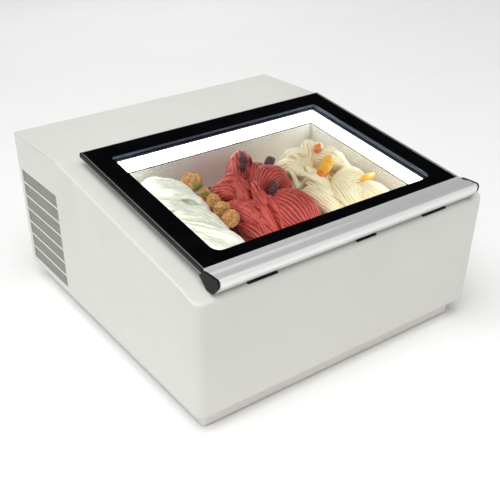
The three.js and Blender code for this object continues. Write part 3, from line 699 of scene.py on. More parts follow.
def add_grille_meshes():
    """Perforated sheets with staggered round holes behind the open rows."""
    for side, sign in LEFT_RIGHT:
        low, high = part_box(f"grille_mesh_{side}")
        x = (high.x if sign > 0 else low.x) / MM
        near, far = (low.y - FRONT_Y) / MM, (high.y - FRONT_Y) / MM
        base, top = low.z / MM, high.z / MM
        columns, rows = int((far - near) / HOLE_PITCH), int((top - base) / HOLE_PITCH)
        step_d, step_z = (far - near) / columns, (top - base) / rows
        points, faces = [], []
        for row in range(rows):
            for column in range(columns):
                cd = near + (column + 0.5) * step_d
                cz = base + (row + 0.5) * step_z
                shift = (STAGGER if row % 2 else -STAGGER) * step_d
                first = len(points)
                for sd, sz in ((-1, -1), (0, -1), (1, -1), (1, 0), (1, 1), (0, 1), (-1, 1), (-1, 0)):
                    points.append(at(x, cd + sd * step_d / 2, cz + sz * step_z / 2))
                for i in range(8):
                    a = math.radians(225 + 45 * i)
                    points.append(at(x, cd + shift + HOLE_R * math.cos(a), cz + HOLE_R * math.sin(a)))
                for i in range(8):
                    j = (i + 1) % 8
                    faces.append((first + i, first + j, first + 8 + j, first + 8 + i))
        bm = bmesh.new()
        verts = [bm.verts.new(p) for p in points]
        for face in faces:
            bm.faces.new([verts[i] for i in face])
        bmesh.ops.remove_doubles(bm, verts=bm.verts, dist=1e-5)
        sheet = mesh_object(f"perforated_grille_{side}", bm)
        if sheet.data.polygons[0].normal.x * sign < 0:
            sheet.data.flip_normals()
        thicken(sheet, 0.8, False)
        dress(sheet, "cabinet", MESH_METAL, [f"grille_mesh_{side}"])


# ---------------------------------------------------------------- lid

PANE_HALF_X = 283.0
PANE = (-6.6, 394.3)  # its front and rear edge along the deck
PANE_N = (20.6, 24.6)
PRINT = 0.3  # thickness of the black border
WINDOW_X = 244.0
WINDOW = (19.5, 356.0)
LID_HALF_X = 288.6


def add_panes():
    """Outer pane with its printed black border, and the inner pane."""
    edge = rounded_rectangle(-PANE_HALF_X, PANE_HALF_X, *PANE, (1, 1, 1, 1), 3)
    window = rounded_rectangle(-WINDOW_X, WINDOW_X, *WINDOW, (17, 5, 5, 17), 10)
    border = plate("lid_glass_black_border", [edge, window], PANE_N[1] - PRINT, PANE_N[1])
    dress(border, "lid", FRIT, ["lid_glass"])
    pane = plate("lid_outer_pane", [edge], PANE_N[0], PANE_N[1] - PRINT - 0.02)
    dress(pane, "lid", CLEAR, ["lid_glass"])
    inner = rounded_rectangle(-270.7, 270.7, -5.3, 385.7, (1, 1, 1, 1), 3)
    dress(plate("lid_inner_pane", [inner], 8.0, 12.0), "lid", INNER_CLEAR, ["lid_inner_glass"])


def lid_ring(name, outer_x, outer, inner_x, inner, low, high, edge):
    sizes = ((outer_x, outer), (inner_x, inner))
    loops = [rounded_rectangle(-x, x, *reach, (1.0,) * 4, 4) for x, reach in sizes]
    return plate(name, loops, low, high, edge)


def add_lid_frame():
    """Spacer with its sealant groove, inner frame, gasket with its lip, and the outer trims."""
    nest_x, nest = 270.7, (-5.3, 385.7)
    inner_x, inner = WELL_HALF_X, (-0.2, 367.0)
    groove = 1.4
    layers = (("lower", 12.3, 15.4, 0), ("groove", 15.4, 16.6, groove), ("upper", 16.6, 20.3, 0))
    for name, low, high, back in layers:
        hole = (inner[0] - back, inner[1] + back)
        ring = lid_ring(f"lid_spacer_{name}", nest_x, nest, inner_x + back, hole, low, high, 0.15)
        material = BLACK if back else SLATE
        dress(ring, "lid", material, ["lid_spacer"])
    refine("lid_inner_frame", "lid", DARK_SLATE, 0.5)
    refine("lid_gasket", "lid", GASKET, 0.7, 3)

    for side, sign in LEFT_RIGHT:
        inner_edge, split = sign * (PANE_HALF_X + 0.3), sign * (PANE_HALF_X + 2.6)
        outer_edge = sign * LID_HALF_X
        trim_v = (PANE[0], 394.6)
        cap = [(inner_edge, 20.6), (split, 20.6), (split, 25.1), (inner_edge, 25.1)]
        lip = [(inner_edge, 15.6), (outer_edge, 15.6), (outer_edge, 16.7), (inner_edge, 16.7)]
        core = [(inner_edge, 16.7), (outer_edge - sign * 0.7, 16.7), (outer_edge, 18.0), (outer_edge, 23.6)]
        core += [(outer_edge - sign * 1.2, 24.8), (split, 24.8), (split, 20.6), (inner_edge, 20.6)]
        for part, outline, material, slot in (
            ("cap", cap, TRIM_METAL, "lid_aluminium"),
            ("insert", core, BLACK, "black_plastic"),
            ("lip", lip, TRIM_METAL, "lid_aluminium"),
        ):
            piece = along_lid(f"lid_side_trim_{side}_{part}", outline, *trim_v)
            dress(soften(piece, 0.35, 2), "lid", material, [f"lid_side_trim_{side}"])
    low, high = 15.6, 24.8
    tail = 394.9
    rear = [(tail, low), (tail + 2.8, low), (tail + 2.8, high), (tail, high)]
    bar = section("lid_rear_trim_bar", rear, -LID_HALF_X, LID_HALF_X, deck)
    dress(soften(bar, 0.8, 3), "lid", BLACK, ["lid_rear_trim"])


HANDLE_TOP = 302.0
HANDLE_END = 285.8


def handle_top_line():
    """Upper side of the grip from its rear lip to its nose: lip, hollow, crown."""
    lip = [(35.9, HANDLE_TOP - 0.3), (35.5, HANDLE_TOP), (33.2, HANDLE_TOP), (32.7, HANDLE_TOP - 0.35)]
    hollow = [
        (32.2 - 18 * t, HANDLE_TOP - 0.5 - 1.5 * math.sin(math.pi * t) ** 1.3 - 0.1 * t)
        for t in [i / 12 for i in range(13)]
    ]
    crown = [
        (14.2 - 16.4 * t, HANDLE_TOP - 0.6 + 0.55 * math.sin(math.pi * min(1, t * 1.25)) - 0.25 * t)
        for t in [i / 10 for i in range(1, 11)]
    ]
    return lip + hollow + crown


def add_handle():
    """Extruded grip along the lid's front edge, with a moulded cap at each end."""
    nose = arc((-2.2, 295.2), 7.0, 88, 178, 9)
    front = [(-9.2, 293.0), (-8.9, 290.2), (-8.2, 287.9), (-6.9, 285.7)]
    under = arc((8.0, 277.2), 5.6, 218, 270, 5)
    rear = [(20.0, 272.1), (24.0, 273.0), (33.0, 277.2), (35.6, 279.8), (37.0, 283.6), (36.2, 294.0)]
    outline = handle_top_line() + nose + front + under + rear
    grip = section("handle_grip", outline, -HANDLE_END, HANDLE_END)
    dress(soften(grip, 0.25, 2, 60), "lid", HANDLE_METAL, ["lid_handle"])

    cap_outline = arc((-2.4, 295.2), 6.8, 92, 178, 8)
    cap_outline += [(-9.2, 292.4), (-8.8, 289.8), (-7.6, 286.6)]
    cap_outline += arc((8.0, 278.0), 6.3, 215, 270, 5) + arc((19.0, 280.5), 8.9, 270, 325, 5)
    cap_outline += [(30.5, 279.0), (35.0, 283.0), (39.6, 286.8), (42.3, 290.4), (38.4, 291.2), (36.6, 295.0)]
    cap_outline += [(34.0, 299.0), (27.0, 301.4), (16.0, 302.0), (6.0, 302.0)]
    for side, sign in LEFT_RIGHT:
        near, far = sign * (HANDLE_END + 0.3), sign * 291.0
        shell = section(f"handle_cap_{side}_shell", cap_outline, near, far)
        dress(soften(shell, 1.1, 3, 50), "lid", BLACK, [f"handle_cap_{side}"])
        middle = (10.5, 288.5)
        shrunk = [(0.8 * (a - middle[0]), 0.78 * (b - middle[1])) for a, b in cap_outline]
        face = [(middle[0] + a, middle[1] + b) for a, b in shrunk if middle[0] + a < 30]
        inset = section(f"handle_cap_{side}_face", face, far - sign * 1.0, far + sign * 0.12)
        dress(soften(inset, 0.1, 1, 50), "lid", CAP_FACE, [f"handle_cap_{side}"])


# ---------------------------------------------------------------- well

COLLAR = 24.0  # height of the lit collar
CORNER_BEAD = 23.6
CORNER_BEAD_R = 0.9
GAP_SHADE_DROP = 24.35  # how far the middle of the black bead that paints the gap's shade lies below the well's mouth
GAP_SHADE_R = 1.4


def add_well():
    refine("light_collar", "cabinet", OPAL, 0.4)
    refine("cavity_liner", "cabinet", LINER_STEEL, 0.8)
    for name in ("left", "centre", "right"):
        refine(f"pan_{name}", "cabinet", PAN_STEEL, 0.7)
    bm = bmesh.new()
    radius = CORNER_BEAD_R * MM
    for x in (-WELL_HALF_X, WELL_HALF_X):
        for depth in WELL:
            rod = bmesh.ops.create_cone(
                bm, cap_ends=True, segments=10, radius1=radius, radius2=radius, depth=CORNER_BEAD * MM
            )
            bmesh.ops.translate(bm, verts=rod["verts"], vec=at(x, depth, top_height(depth) - COLLAR / 2))
    dress(mesh_object("collar_corner_beads", bm), "cabinet", BLACK)

    # a black bead round the foot of the collar: a dark piece that paints the shade of the gap between the
    # collar and the liner
    bm = bmesh.new()
    rings = []
    for sx, depth in ((-1, WELL[0]), (1, WELL[0]), (1, WELL[1]), (-1, WELL[1])):
        middle = at(sx * WELL_HALF_X, depth, top_height(depth) - GAP_SHADE_DROP)
        out = Vector((sx, 1 if depth == WELL[1] else -1, 0))
        ring = []
        for i in range(8):
            a = 2 * math.pi * i / 8
            way = out * math.cos(a) * 0.7 + Vector((0, 0, math.sin(a)))
            ring.append(bm.verts.new(middle + way * GAP_SHADE_R * MM))
        rings.append(ring)
    for k in range(4):
        join(bm, rings[k], rings[(k + 1) % 4], closed=True)
    dress(mesh_object("collar_gap_shade_bead", bm), "cabinet", BLACK)


# ---------------------------------------------------------------- gelato


STROKE_RINGS = 46
POINTS_PER_RIDGE = 6
FILL_GRID = (64, 130)  # points across and along the body of a serving
FILL_RIDGES = 1.6
FILL_FLOOR = 214.0
FILL_HALF_X = 75.0
FILL_ENDS = (58.5, 397.0)


class Heap:
    """Collects the closed lumps of one serving; a lump's points are in millimetres."""

    def __init__(self, pan_x):
        self.pan_x = pan_x
        self.points = []
        self.faces = []
        self.grooves = []
        self.count = 0

    def add_grid(self, points, grooves, wrap_faces):
        self.points.append(points)
        self.grooves.append(grooves)
        self.faces += [tuple(i + self.count for i in face) for face in wrap_faces]
        self.count += len(points)

    def stroke(self, spine, half_width, half_height, ridges, depth, seed, lean, twist, uneven=1.0):
        """One spatula stroke: an uneven lump swept along the spine and combed lengthwise."""
        rings, around = STROKE_RINGS, ridges * POINTS_PER_RIDGE
        t = np.linspace(0, 1, rings)
        path = spline(np.array(spine, float), t)
        tangent = np.gradient(path, axis=0)
        tangent /= np.linalg.norm(tangent, axis=1)[:, None]
        side = np.cross(tangent, np.array([0, 0, 1.0]))
        side /= np.maximum(np.linalg.norm(side, axis=1)[:, None], 1e-6)
        out = np.cross(side, tangent)
        tilt = math.radians(lean) + np.radians(twist) * (t - 0.5)
        side, out = (
            side * np.cos(tilt)[:, None] + out * np.sin(tilt)[:, None],
            out * np.cos(tilt)[:, None] - side * np.sin(tilt)[:, None],
        )
        taper = np.sin(np.pi * np.clip(t, 0.004, 0.996)) ** 0.5
        widths = np.interp(t, np.linspace(0, 1, len(half_width)), half_width) * taper
        heights = np.interp(t, np.linspace(0, 1, len(half_height)), half_height) * taper
        angle = np.linspace(0, 2 * math.pi, around, endpoint=False)
        a, tt = np.meshgrid(angle, t)
        wobble = 0.22 * np.sin(3.1 * tt * math.pi + seed) + 0.12 * np.sin(9 * tt + 5 * a + seed)
        comb = np.abs(np.sin(ridges * a / 2 + wobble * 1.8)) ** 0.85
        patch = path[:, None, :] + 30 * np.stack([np.cos(a), np.sin(a), 2 * tt], -1)
        patchy = smooth_noise(patch.reshape(-1, 3), 45, seed + 31, 2).reshape(a.shape)
        strong = 0.75 + 0.25 * (1 - uneven) + 0.7 * uneven * patchy
        fade = np.clip(np.sin(np.pi * tt) * 1.6, 0.12, 1)
        fade = fade * np.clip(strong, 0.3, 1.1)
        swell = depth * (comb - 0.65) * fade
        x = (widths[:, None] + swell) * np.cos(a)
        z = (heights[:, None] + swell) * np.sin(a)
        points = path[:, None, :] + side[:, None, :] * x[..., None] + out[:, None, :] * z[..., None]
        flat = points.reshape(-1, 3)
        centre = np.repeat(path, around, axis=0)
        away = flat - centre
        away /= np.maximum(np.linalg.norm(away, axis=1)[:, None], 1e-6)
        lump = smooth_noise(flat, 30, seed + 11) * 3.4 + smooth_noise(flat, 8, seed + 23, 2) * 0.6
        lump -= 1.6 * np.clip(1 - 5 * np.abs(smooth_noise(flat, 42, seed + 41, 2)), 0, 1)
        flat = flat + away * (lump * uneven * np.repeat(np.clip(taper, 0, 1), around))[:, None]
        grooves = ((1 - comb) * fade).reshape(-1) ** 1.5
        faces = []
        for i in range(rings - 1):
            for j in range(around):
                k = (j + 1) % around
                faces.append((i * around + j, i * around + k, (i + 1) * around + k, (i + 1) * around + j))
        first, last = len(flat), len(flat) + 1
        for j in range(around):
            k = (j + 1) % around
            faces.append((first, k, j))
            faces.append((last, (rings - 1) * around + j, (rings - 1) * around + k))
        flat = np.vstack([flat, path[:1], path[-1:]])
        self.add_grid(flat, np.concatenate([grooves, [0.3, 0.3]]), faces)

    def drape(self, start, end, bend, half_width, half_height, ridges, seed):
        """A thinner stroke laid over what is already there, from start to end with a sideways bend."""
        tree = BVHTree.FromPolygons(np.vstack(self.points).tolist(), self.faces)
        start, end = Vector(start), Vector(end)
        aside = (end - start).orthogonal().normalized() * bend
        spine = []
        for i in range(7):
            t = i / 6
            spot = start.lerp(end, t) + aside * math.sin(math.pi * t)
            hit = tree.ray_cast(Vector((spot.x, spot.y, 400)), Vector((0, 0, -1)))[0]
            sink = 0.2 if 0 < i < 6 else 1.3
            spine.append((spot.x, spot.y, (hit.z if hit else FILL_FLOOR) - sink * half_height))
        spine = np.array(spine)
        spine[1:-1, 2] = (spine[:-2, 2] + spine[1:-1, 2] * 2 + spine[2:, 2]) / 4
        self.stroke(spine, (half_width,), (half_height,), ridges, 1.5, seed, 0, 25)

    def fill(self, mounds, seed):
        """The body of the serving: a combed mound from wall to wall of the pan."""
        nx, ny = FILL_GRID
        half_x, ends = FILL_HALF_X, FILL_ENDS
        xs = np.linspace(-half_x, half_x, nx)
        ys = np.linspace(*ends, ny)
        x, y = np.meshgrid(xs, ys)
        height = np.full(x.shape, FILL_FLOOR + 2)
        for cy, cz, ry, rz, cx in mounds:
            inside = 1 - ((x - cx) / (half_x + 3)) ** 2 - ((y - cy) / ry) ** 2
            height = np.maximum(height, cz + rz * np.clip(inside, 0, 1) ** 0.7)
        flat = np.stack([x, y, height], -1).reshape(-1, 3)
        wave = np.abs(np.sin(FILL_RIDGES * (x + 0.35 * y + 9 * np.sin(y / 40 + seed)) / 12)) ** 0.8
        rise = (smooth_noise(flat, 30, seed) * 3 + smooth_noise(flat, 9, seed + 3, 2) * 0.6).reshape(x.shape)
        edge = np.minimum(1, np.minimum(half_x - np.abs(x), np.minimum(y - ends[0], ends[1] - y)) / 14)
        height = height + (rise + (wave - 0.6) * 1.6) * np.clip(edge, 0, 1)
        top = np.stack([x, y, height], -1).reshape(-1, 3)
        bottom = np.stack([x, y, np.full(x.shape, FILL_FLOOR)], -1).reshape(-1, 3)
        faces = []
        n = nx * ny
        for i in range(ny - 1):
            for j in range(nx - 1):
                a, b, c, d = i * nx + j, i * nx + j + 1, (i + 1) * nx + j + 1, (i + 1) * nx + j
                faces.append((a, b, c, d))
                faces.append((n + d, n + c, n + b, n + a))
        sides = [(i * nx + j, (i + 1) * nx + j, j == 0) for i in range(ny - 1) for j in (0, nx - 1)]
        sides += [(i * nx + j, i * nx + j + 1, i > 0) for j in range(nx - 1) for i in (0, ny - 1)]
        faces += [(a, b, n + b, n + a) if ahead else (b, a, n + a, n + b) for a, b, ahead in sides]
        grooves = np.concatenate([(1 - wave).reshape(-1), np.zeros(n)])
        self.add_grid(np.vstack([top, bottom]), grooves, faces)

    def build(self, name, material, node):
        points = np.vstack(self.points)
        world = np.empty_like(points)
        world[:, 0] = (points[:, 0] + self.pan_x) * MM
        world[:, 1] = FRONT_Y + points[:, 1] * MM
        world[:, 2] = points[:, 2] * MM
        made = from_arrays(name, world, self.faces, np.concatenate(self.grooves))
        return dress(made, "cabinet", material, [node])


def spline(points, t):
    """Smooth curve through the points, sampled at t in 0..1."""
    padded = np.vstack([2 * points[0] - points[1], points, 2 * points[-1] - points[-2]])
    spot = t * (len(points) - 1)
    k = np.minimum(spot.astype(int), len(points) - 2)
    u = (spot - k)[:, None]
    p0, p1, p2, p3 = padded[k], padded[k + 1], padded[k + 2], padded[k + 3]
    return 0.5 * (
        2 * p1
        + (p2 - p0) * u
        + (2 * p0 - 5 * p1 + 4 * p2 - p3) * u**2
        + (3 * p1 - p0 - 3 * p2 + p3) * u**3
    )


# Each mound: depth and height of its middle, its reach and rise, and its x.
# Each stroke: points of its spine, half widths and half heights along it, ridges round it, their depth,
# its roll about the spine and its twist in degrees, and how uneven it is if not fully.
# x is from the middle of the pan.

VANILLA_MOUNDS = ((318, 212, 78, 62, -6), (225, 210, 108, 46, -4), (130, 208, 74, 26, 0))
VANILLA_STROKES = (
    (((-42, 386, 262), (-18, 384, 280), (8, 374, 286), (32, 360, 280), (50, 338, 258)),
     (12, 18, 18, 16, 10), (11, 14, 13, 12, 9), 13, 1.9, 10, 40),
    (((-62, 370, 264), (-32, 352, 286), (2, 320, 284), (34, 284, 264), (56, 262, 240)),
     (14, 24, 27, 23, 14), (12, 20, 21, 18, 12), 15, 2.4, -4, 80),
    (((-70, 334, 264), (-50, 300, 276), (-16, 264, 270), (24, 230, 252), (58, 210, 230)),
     (15, 25, 28, 24, 15), (13, 20, 21, 19, 12), 15, 2.4, -10, 70),
    (((-72, 292, 260), (-56, 250, 272), (-26, 208, 268), (14, 170, 250), (58, 152, 226)),
     (16, 25, 30, 26, 15), (13, 19, 21, 19, 12), 17, 2.4, -6, 70),
    (((-70, 232, 252), (-50, 190, 256), (-16, 150, 244), (30, 108, 222)),
     (17, 26, 30, 20), (13, 19, 20, 14), 15, 2.2, -8, 60),
)

BERRY_MOUNDS = ((330, 212, 66, 50, -8), (235, 210, 100, 38, -6), (130, 208, 70, 22, 0))
BERRY_STROKES = (
    # the front dome fans out from the pit of berries
    (((0, 238, 254), (12, 212, 255), (26, 176, 240), (36, 128, 208)),
     (32, 52, 58, 44), (24, 33, 34, 24), 34, 2.6, 4, 6, 0.25),
    # the dome behind it is combed from left to right
    (((-8, 270, 260), (20, 282, 274), (50, 282, 274), (78, 262, 250)),
     (20, 31, 31, 20), (18, 26, 26, 18), 26, 2.4, 12, 20, 0.35),
    # the tower and the lump beside it
    (((-18, 316, 256), (0, 334, 284), (16, 350, 303), (30, 362, 309)),
     (27, 24, 18, 11), (24, 20, 15, 9), 18, 2.0, 0, 80),
    (((10, 304, 260), (28, 318, 278), (44, 328, 280), (62, 338, 262)),
     (16, 20, 18, 12), (14, 17, 15, 10), 17, 1.9, 15, 50),
    # folds down to the left
    (((-74, 336, 244), (-64, 320, 260), (-50, 298, 266), (-42, 262, 258)),
     (14, 19, 21, 15), (12, 16, 16, 12), 17, 2.0, -18, 40),
    (((-42, 334, 256), (-34, 314, 274), (-34, 288, 276), (-38, 250, 262)),
     (13, 19, 20, 15), (12, 16, 16, 12), 17, 2.0, -10, 50),
    (((-68, 292, 246), (-62, 256, 254), (-56, 220, 250), (-50, 178, 230)),
     (12, 17, 19, 14), (11, 15, 16, 12), 17, 1.9, -22, 30),
    (((-6, 284, 272), (-14, 262, 281), (-28, 228, 272), (-40, 194, 258), (-42, 156, 232)),
     (8, 12, 14, 14, 10), (7, 10, 11, 11, 8), 10, 1.8, -25, 60),
    (((-50, 238, 248), (-50, 212, 250), (-46, 176, 238), (-38, 130, 212)),
     (11, 15, 16, 12), (10, 14, 15, 12), 14, 1.9, -14, 30),
    (((-66, 250, 228), (-64, 206, 230), (-60, 164, 218), (-54, 122, 202)),
     (10, 13, 14, 11), (9, 12, 13, 10), 12, 1.8, -18, 10),
)

MANGO_MOUNDS = ((318, 212, 74, 58, 0), (225, 210, 104, 42, 0), (130, 208, 72, 24, 0))
MANGO_STROKES = (
    (((-18, 298, 258), (-4, 314, 282), (8, 328, 299), (17, 338, 303)),
     (19, 21, 16, 9), (16, 19, 15, 8), 15, 2.0, 0, 60),
    (((-72, 336, 248), (-62, 322, 268), (-50, 304, 272), (-42, 278, 258)),
     (13, 19, 20, 14), (12, 17, 16, 11), 15, 2.3, -8, 60),
    (((-48, 352, 258), (-36, 338, 277), (-26, 320, 282), (-20, 298, 268)),
     (12, 18, 18, 12), (11, 16, 15, 10), 14, 2.3, 5, 60),
    (((-12, 322, 278), (12, 306, 280), (40, 282, 270), (66, 246, 250)),
     (17, 28, 30, 18), (15, 21, 21, 14), 23, 2.2, 14, 20, 0.5),
    (((-44, 282, 258), (-40, 256, 260), (-36, 228, 250), (-32, 196, 234)),
     (13, 20, 21, 15), (12, 17, 17, 13), 18, 2.1, -12, 30, 0.55),
    (((-14, 230, 254), (10, 220, 261), (38, 212, 255), (64, 200, 237)),
     (19, 29, 30, 19), (15, 20, 20, 14), 23, 2.2, 16, 20, 0.4),
    (((-6, 224, 260), (-18, 198, 258), (-24, 164, 242), (-22, 126, 214)),
     (14, 21, 24, 17), (12, 17, 18, 14), 20, 2.2, -10, 20, 0.55),
    (((8, 208, 240), (28, 180, 245), (42, 146, 235), (50, 104, 212)),
     (20, 34, 36, 24), (15, 22, 23, 16), 26, 1.0, 8, 10, 0.3),
    (((-66, 262, 238), (-62, 226, 248), (-56, 180, 236), (-50, 128, 212)),
     (11, 17, 19, 14), (10, 15, 16, 12), 17, 2.0, -16, 20, 0.55),
)


# Each drape: where it starts and ends, its bend, half width, half height and ridges.

VANILLA_DRAPES = (
    ((-62, 376), (-4, 306), 10, 12, 6, 11),
    ((-36, 384), (30, 322), 12, 12, 6, 11),
    ((-70, 334), (0, 262), 10, 13, 6, 12),
    ((-36, 342), (44, 288), 14, 13, 6, 12),
    ((-70, 292), (0, 220), 10, 13, 6, 12),
    ((-28, 302), (56, 248), 13, 13, 6, 12),
    ((-68, 250), (8, 180), 11, 14, 6, 12),
    ((-20, 258), (64, 206), 12, 13, 6, 12),
    ((-70, 208), (-6, 140), 10, 14, 6, 12),
    ((-20, 215), (66, 160), 12, 14, 6, 12),
    ((-8, 172), (60, 118), 12, 14, 6, 12),
    ((-56, 166), (8, 100), 10, 14, 6, 12),
)
BERRY_DRAPES = (
    ((-70, 346), (-34, 300), 8, 9, 5, 9),
    ((-62, 322), (-24, 262), 9, 9, 5, 9),
    ((-46, 334), (-16, 300), -7, 8, 5, 8),
    ((-70, 280), (-54, 190), 8, 9, 5, 9),
    ((-38, 300), (-34, 220), -8, 9, 5, 9),
    ((-54, 252), (-46, 150), 9, 9, 5, 9),
    ((-28, 248), (-30, 150), 8, 8, 5, 8),
    ((4, 318), (44, 342), 8, 9, 5, 8),
    ((-30, 352), (6, 348), 6, 9, 5, 8),
    ((-56, 196), (-50, 112), -7, 9, 5, 9),
)
MANGO_DRAPES = (
    ((-66, 346), (-28, 296), 8, 10, 6, 9),
    ((-48, 352), (-10, 306), -8, 10, 6, 9),
    ((-68, 306), (-50, 236), 8, 10, 5, 9),
    ((-42, 294), (-38, 216), -8, 10, 5, 9),
    ((-22, 300), (-22, 240), 7, 9, 5, 8),
    ((-70, 246), (-54, 156), 8, 10, 5, 9),
    ((-34, 238), (-36, 146), -8, 10, 5, 9),
    ((-8, 234), (-16, 132), 8, 11, 5, 10),
    ((16, 322), (66, 262), 12, 12, 5, 11),
    ((2, 300), (54, 252), 10, 12, 5, 11),
    ((10, 228), (66, 204), 10, 12, 5, 11),
)


def add_gelato():
    # of each gelato's three colours, the first is a painted highlight for its ridges and the third painted
    # shade for its grooves
    vanilla = gelato(
        "vanilla_pistachio_gelato", tint(255, 254, 249), tint(248, 247, 228), tint(214, 216, 138)
    )
    berry = gelato("berry_gelato", tint(222, 100, 88), tint(170, 48, 47), tint(74, 12, 18), 0.3)
    mango = gelato("mango_cream_gelato", tint(255, 250, 228), tint(255, 240, 200), tint(230, 178, 104))
    servings = (
        ("vanilla", "left", -1, VANILLA_MOUNDS, VANILLA_STROKES, VANILLA_DRAPES, vanilla, "gelato_white"),
        ("berry", "centre", 0, BERRY_MOUNDS, BERRY_STROKES, BERRY_DRAPES, berry, "gelato_berry"),
        ("mango", "right", 1, MANGO_MOUNDS, MANGO_STROKES, MANGO_DRAPES, mango, "gelato_cream"),
    )
    for flavour, pan, step, mounds, strokes, drapes, material, slot in servings:
        heap = Heap(step * PAN_PITCH)
        heap.fill(mounds, 5 + 4 * step)
        for i, (spine, half_width, half_height, ridges, depth, *turn) in enumerate(strokes):
            heap.stroke(spine, half_width, half_height, ridges, depth, 7 * i + 3 * step, *turn)
        for i, drape in enumerate(drapes):
            heap.drape(*drape, 90 + 5 * i + step)
        heap.build(f"gelato_{flavour}_heap", material, f"gelato_{pan}")


def blob(name, place, size, turn, material, slot, seed, rough=0.1, detail=4, grain=None, flat=0.0):
    """A lumpy closed topping: an icosphere pushed about by seeded noise."""
    bm = bmesh.new()
    bmesh.ops.create_icosphere(bm, subdivisions=detail, radius=1)
    points = np.array([v.co for v in bm.verts])
    swell = 1 + rough * smooth_noise(points, 1.7, seed, 3)
    if grain:
        swell += grain * smooth_noise(points, 0.35, seed + 5, 2)
    points *= swell[:, None]
    if flat:
        points[:, 2] = np.sign(points[:, 2]) * np.abs(points[:, 2]) ** (1 - flat)
    for v, p in zip(bm.verts, points):
        v.co = Vector(p * np.array(size) * MM)
    bmesh.ops.transform(bm, matrix=turned(place, turn), verts=bm.verts)
    piece = mesh_object(name, bm)
    piece.data.shade_smooth()
    return dress(piece, "cabinet", material)


def add_toppings():
    biscuit = crumb("almond_biscuit", tint(252, 202, 136), tint(186, 114, 54))
    x = -PAN_PITCH
    baked = (biscuit, "gelato_white")
    blob("biscuit_large", (x + 57, 338, 288), (20, 9, 20), (-25, 0, -35), *baked, 2, 0.1, 5, 0.09)
    row = (
        ((x + 64, 304, 275), (11, 4.6, 11)),
        ((x + 67, 281, 267), (14, 4.8, 14)),
        ((x + 70, 257, 258), (16, 5.0, 16)),
        ((x + 72, 232, 249), (17, 5.2, 17)),
    )
    for i, (place, size) in enumerate(row):
        turn = (-24 + 4 * i, 8 * i, -34 + 5 * i)
        blob(f"biscuit_{i}", place, size, turn, *baked, 10 + i, 0.09, 5, 0.09)

    leaf_green = juicy("mint_leaf", tint(196, 208, 116), tint(96, 138, 56), 0.4, 160)
    add_leaf("mint_leaf_large", (x + 54, 312, 288), 16, 9, (50, -20, 150), leaf_green)
    add_leaf("mint_leaf_small", (x + 52, 290, 280), 14, 8, (30, 25, 110), leaf_green)

    dark = juicy("dark_berry_skin", tint(104, 46, 60), tint(52, 22, 34), 0.3, 200)
    pit = (
        ((-1, 226, 278), 9.5),
        ((10, 236, 280), 8.5),
        ((18, 246, 281), 7.5),
        ((-9, 217, 272), 7.5),
        ((7, 330, 306), 9.5),
        ((-1, 320, 298), 8.0),
        ((13, 342, 311), 7.0),
    )
    for i, (place, r) in enumerate(pit):
        add_berry(f"dark_berry_{i}", place, r, dark, 40 + i)
    skin = (dark, "gelato_berry")
    blob("berry_shard", (70, 326, 286), (12, 7, 14), (15, 28, 20), *skin, 61, 0.25, 4, 0.05, 0.3)
    blob("berry_slice", (-71, 334, 260), (12, 6, 9), (-20, 10, 35), *skin, 64, 0.2, 4, 0.05)

    x = PAN_PITCH
    fruit = juicy("mango_flesh", tint(252, 200, 60), tint(242, 158, 34), 0.25, 60)
    ripe = juicy("apricot_flesh", tint(240, 146, 44), tint(216, 96, 24), 0.28)
    pieces = (
        ("mango_cube", (x - 10, 252, 282), (24, 12, 19), (25, -30, 35), fruit, 71, 0.12, 5, 0.03, 0.35),
        ("mango_skin_end", (x - 30, 244, 270), (12, 10, 12), (0, 20, 0), ripe, 73, 0.15, 4, 0.04, 0.2),
        ("apricot_piece", (x + 8, 298, 304), (18, 9, 9), (10, 15, 35), ripe, 76, 0.15, 4, 0.04, 0.25),
        ("mango_slice", (x + 44, 190, 266), (24, 7, 8), (30, 4, 10), fruit, 79, 0.1, 4, 0.03, 0.2),
    )
    for name, place, size, turn, flesh, *lumps in pieces:
        blob(name, place, size, turn, flesh, "gelato_cream", *lumps)


def add_leaf(name, place, length, width, turn, material):
    """A pointed leaf with a folded midrib and a toothed edge, thick enough to be a solid."""
    bm = bmesh.new()
    rows = 14
    lines = [], [], []  # left edge, midrib, right edge
    for i in range(rows + 1):
        t = i / rows
        tooth = 1 + 0.12 * (i % 2)
        half = width * math.sin(math.pi * t**0.8) ** 0.8 * tooth
        lift = 3.5 * math.sin(math.pi * t)
        for line, side in zip(lines, (-1, 0, 1)):
            place_here = (side * half, length * (t - 0.5) * 2, lift + abs(side) * half * 0.35)
            line.append(bm.verts.new(Vector(place_here) * MM))
    left, middle, right = lines
    for i in range(rows):
        bm.faces.new((left[i], middle[i], middle[i + 1], left[i + 1]))
        bm.faces.new((middle[i], right[i], right[i + 1], middle[i + 1]))
    bmesh.ops.remove_doubles(bm, verts=bm.verts, dist=1e-5)
    bmesh.ops.transform(bm, matrix=turned(place, turn), verts=bm.verts)
    leaf = mesh_object(name, bm)
    thicken(leaf, 0.5, False)
    dress(leaf, "cabinet", material)


def add_berry(name, place, radius, material, seed):
    """A dark berry: drupelets set on a sphere in a spiral."""
    bm = bmesh.new()
    count = 34
    for i in range(count):
        z = 1 - 2 * (i + 0.5) / count
        a = i * math.pi * (3 - math.sqrt(5)) + seed
        r = math.sqrt(1 - z * z)
        made = bmesh.ops.create_icosphere(bm, subdivisions=2, radius=radius * 0.3 * MM)
        spot = Vector((r * math.cos(a), r * math.sin(a), z * 1.15)) * radius * 0.78 * MM
        bmesh.ops.translate(bm, verts=made["verts"], vec=spot + at(*place))
    core = bmesh.ops.create_icosphere(bm, subdivisions=2, radius=radius * 0.8 * MM)
    bmesh.ops.translate(bm, verts=core["verts"], vec=at(*place))
    dress(mesh_object(name, bm), "cabinet", material)


# ---------------------------------------------------------------- the rest of the cabinet

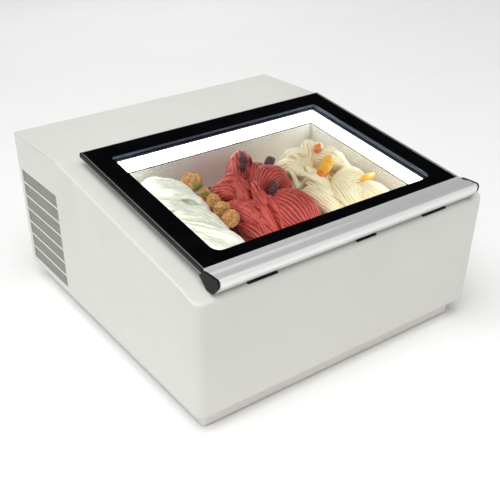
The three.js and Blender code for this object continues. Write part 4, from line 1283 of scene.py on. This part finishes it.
PLAIN_PARTS = (
    # body, material, slot, and for each node its edge rounding in mm
    ("cabinet", PLINTH, "plinth_paint", {"base_tray": 0.3, "plinth_skirt": 0.4}),
    ("cabinet", PAINT, "case_paint", {"rear_panel": 0.3}),
    ("cabinet", FOAM, "insulation_foam", {"foam_insulation": 1.0}),
    ("cabinet", ZINC, "zinc_sheet", {"partition_panel": 0.3, "compressor_plate": 0.4}),
    ("cabinet", BLACK_PAINT, "compressor_paint", {"compressor": 1.2}),
    ("cabinet", FIN_METAL, "condenser_fins", {"condenser": 0.2}),
    ("cabinet", ZINC, "zinc_sheet", {"fan_shroud": 0.3}),
    ("cabinet", GREY, "grey_plastic", {"fan_motor": 1.0}),
    ("fan", FIN_METAL, "fan_alloy", {"fan_rotor": 0.4}),
    ("cabinet", GREY, "grey_plastic", {"control_box": 1.2}),
    ("cabinet", BLACK, "black_plastic", {"mains_inlet": 0.3, "switch_housing": 0.3}),
    ("rocker", BLACK, "black_plastic", {"switch_rocker": 0.3}),
    ("cabinet", BLACK, "black_plastic", {"thermostat": 0.3}),
    ("button_down", GREY, "grey_plastic", {"thermostat_button_down": 0.3}),
    ("button_set", GREY, "grey_plastic", {"thermostat_button_set": 0.3}),
    ("button_up", GREY, "grey_plastic", {"thermostat_button_up": 0.3}),
    ("cabinet", RUBBER, "pad_rubber", {"lid_rest_pad_left": 0.5, "lid_rest_pad_right": 0.5}),
    ("cabinet", BLACK, "black_plastic", {"lid_catch": 0.5}),
    ("cabinet", BLACK_PAINT, "hinge_steel", {"hinge_bracket_left": 0.4, "hinge_bracket_right": 0.4}),
    ("lid", BLACK_PAINT, "hinge_steel", {"hinge_leaf_left": 0.4, "hinge_leaf_right": 0.4}),
    ("cabinet", LED_BOARD, "led_board", {"led_strip_front": 0.2, "led_strip_rear": 0.2}),
)


def add_plain_parts():
    for body, material, slot, edges in PLAIN_PARTS:
        for node, edge in edges.items():
            refine(node, body, material, edge)
    for end in ("front", "rear"):
        for side, _ in LEFT_RIGHT:
            refine(f"foot_{end}_{side}", "cabinet", RUBBER, 0.8)
    for node in ("evaporator_coil", "filter_drier", "discharge_pipe", "liquid_pipe", "suction_pipe"):
        refine(node, "cabinet", COPPER, 0)


add_camera()
add_studio()
add_case()
add_grille_meshes()
add_panes()
add_lid_frame()
add_handle()
add_well()
add_gelato()
add_toppings()
add_plain_parts()
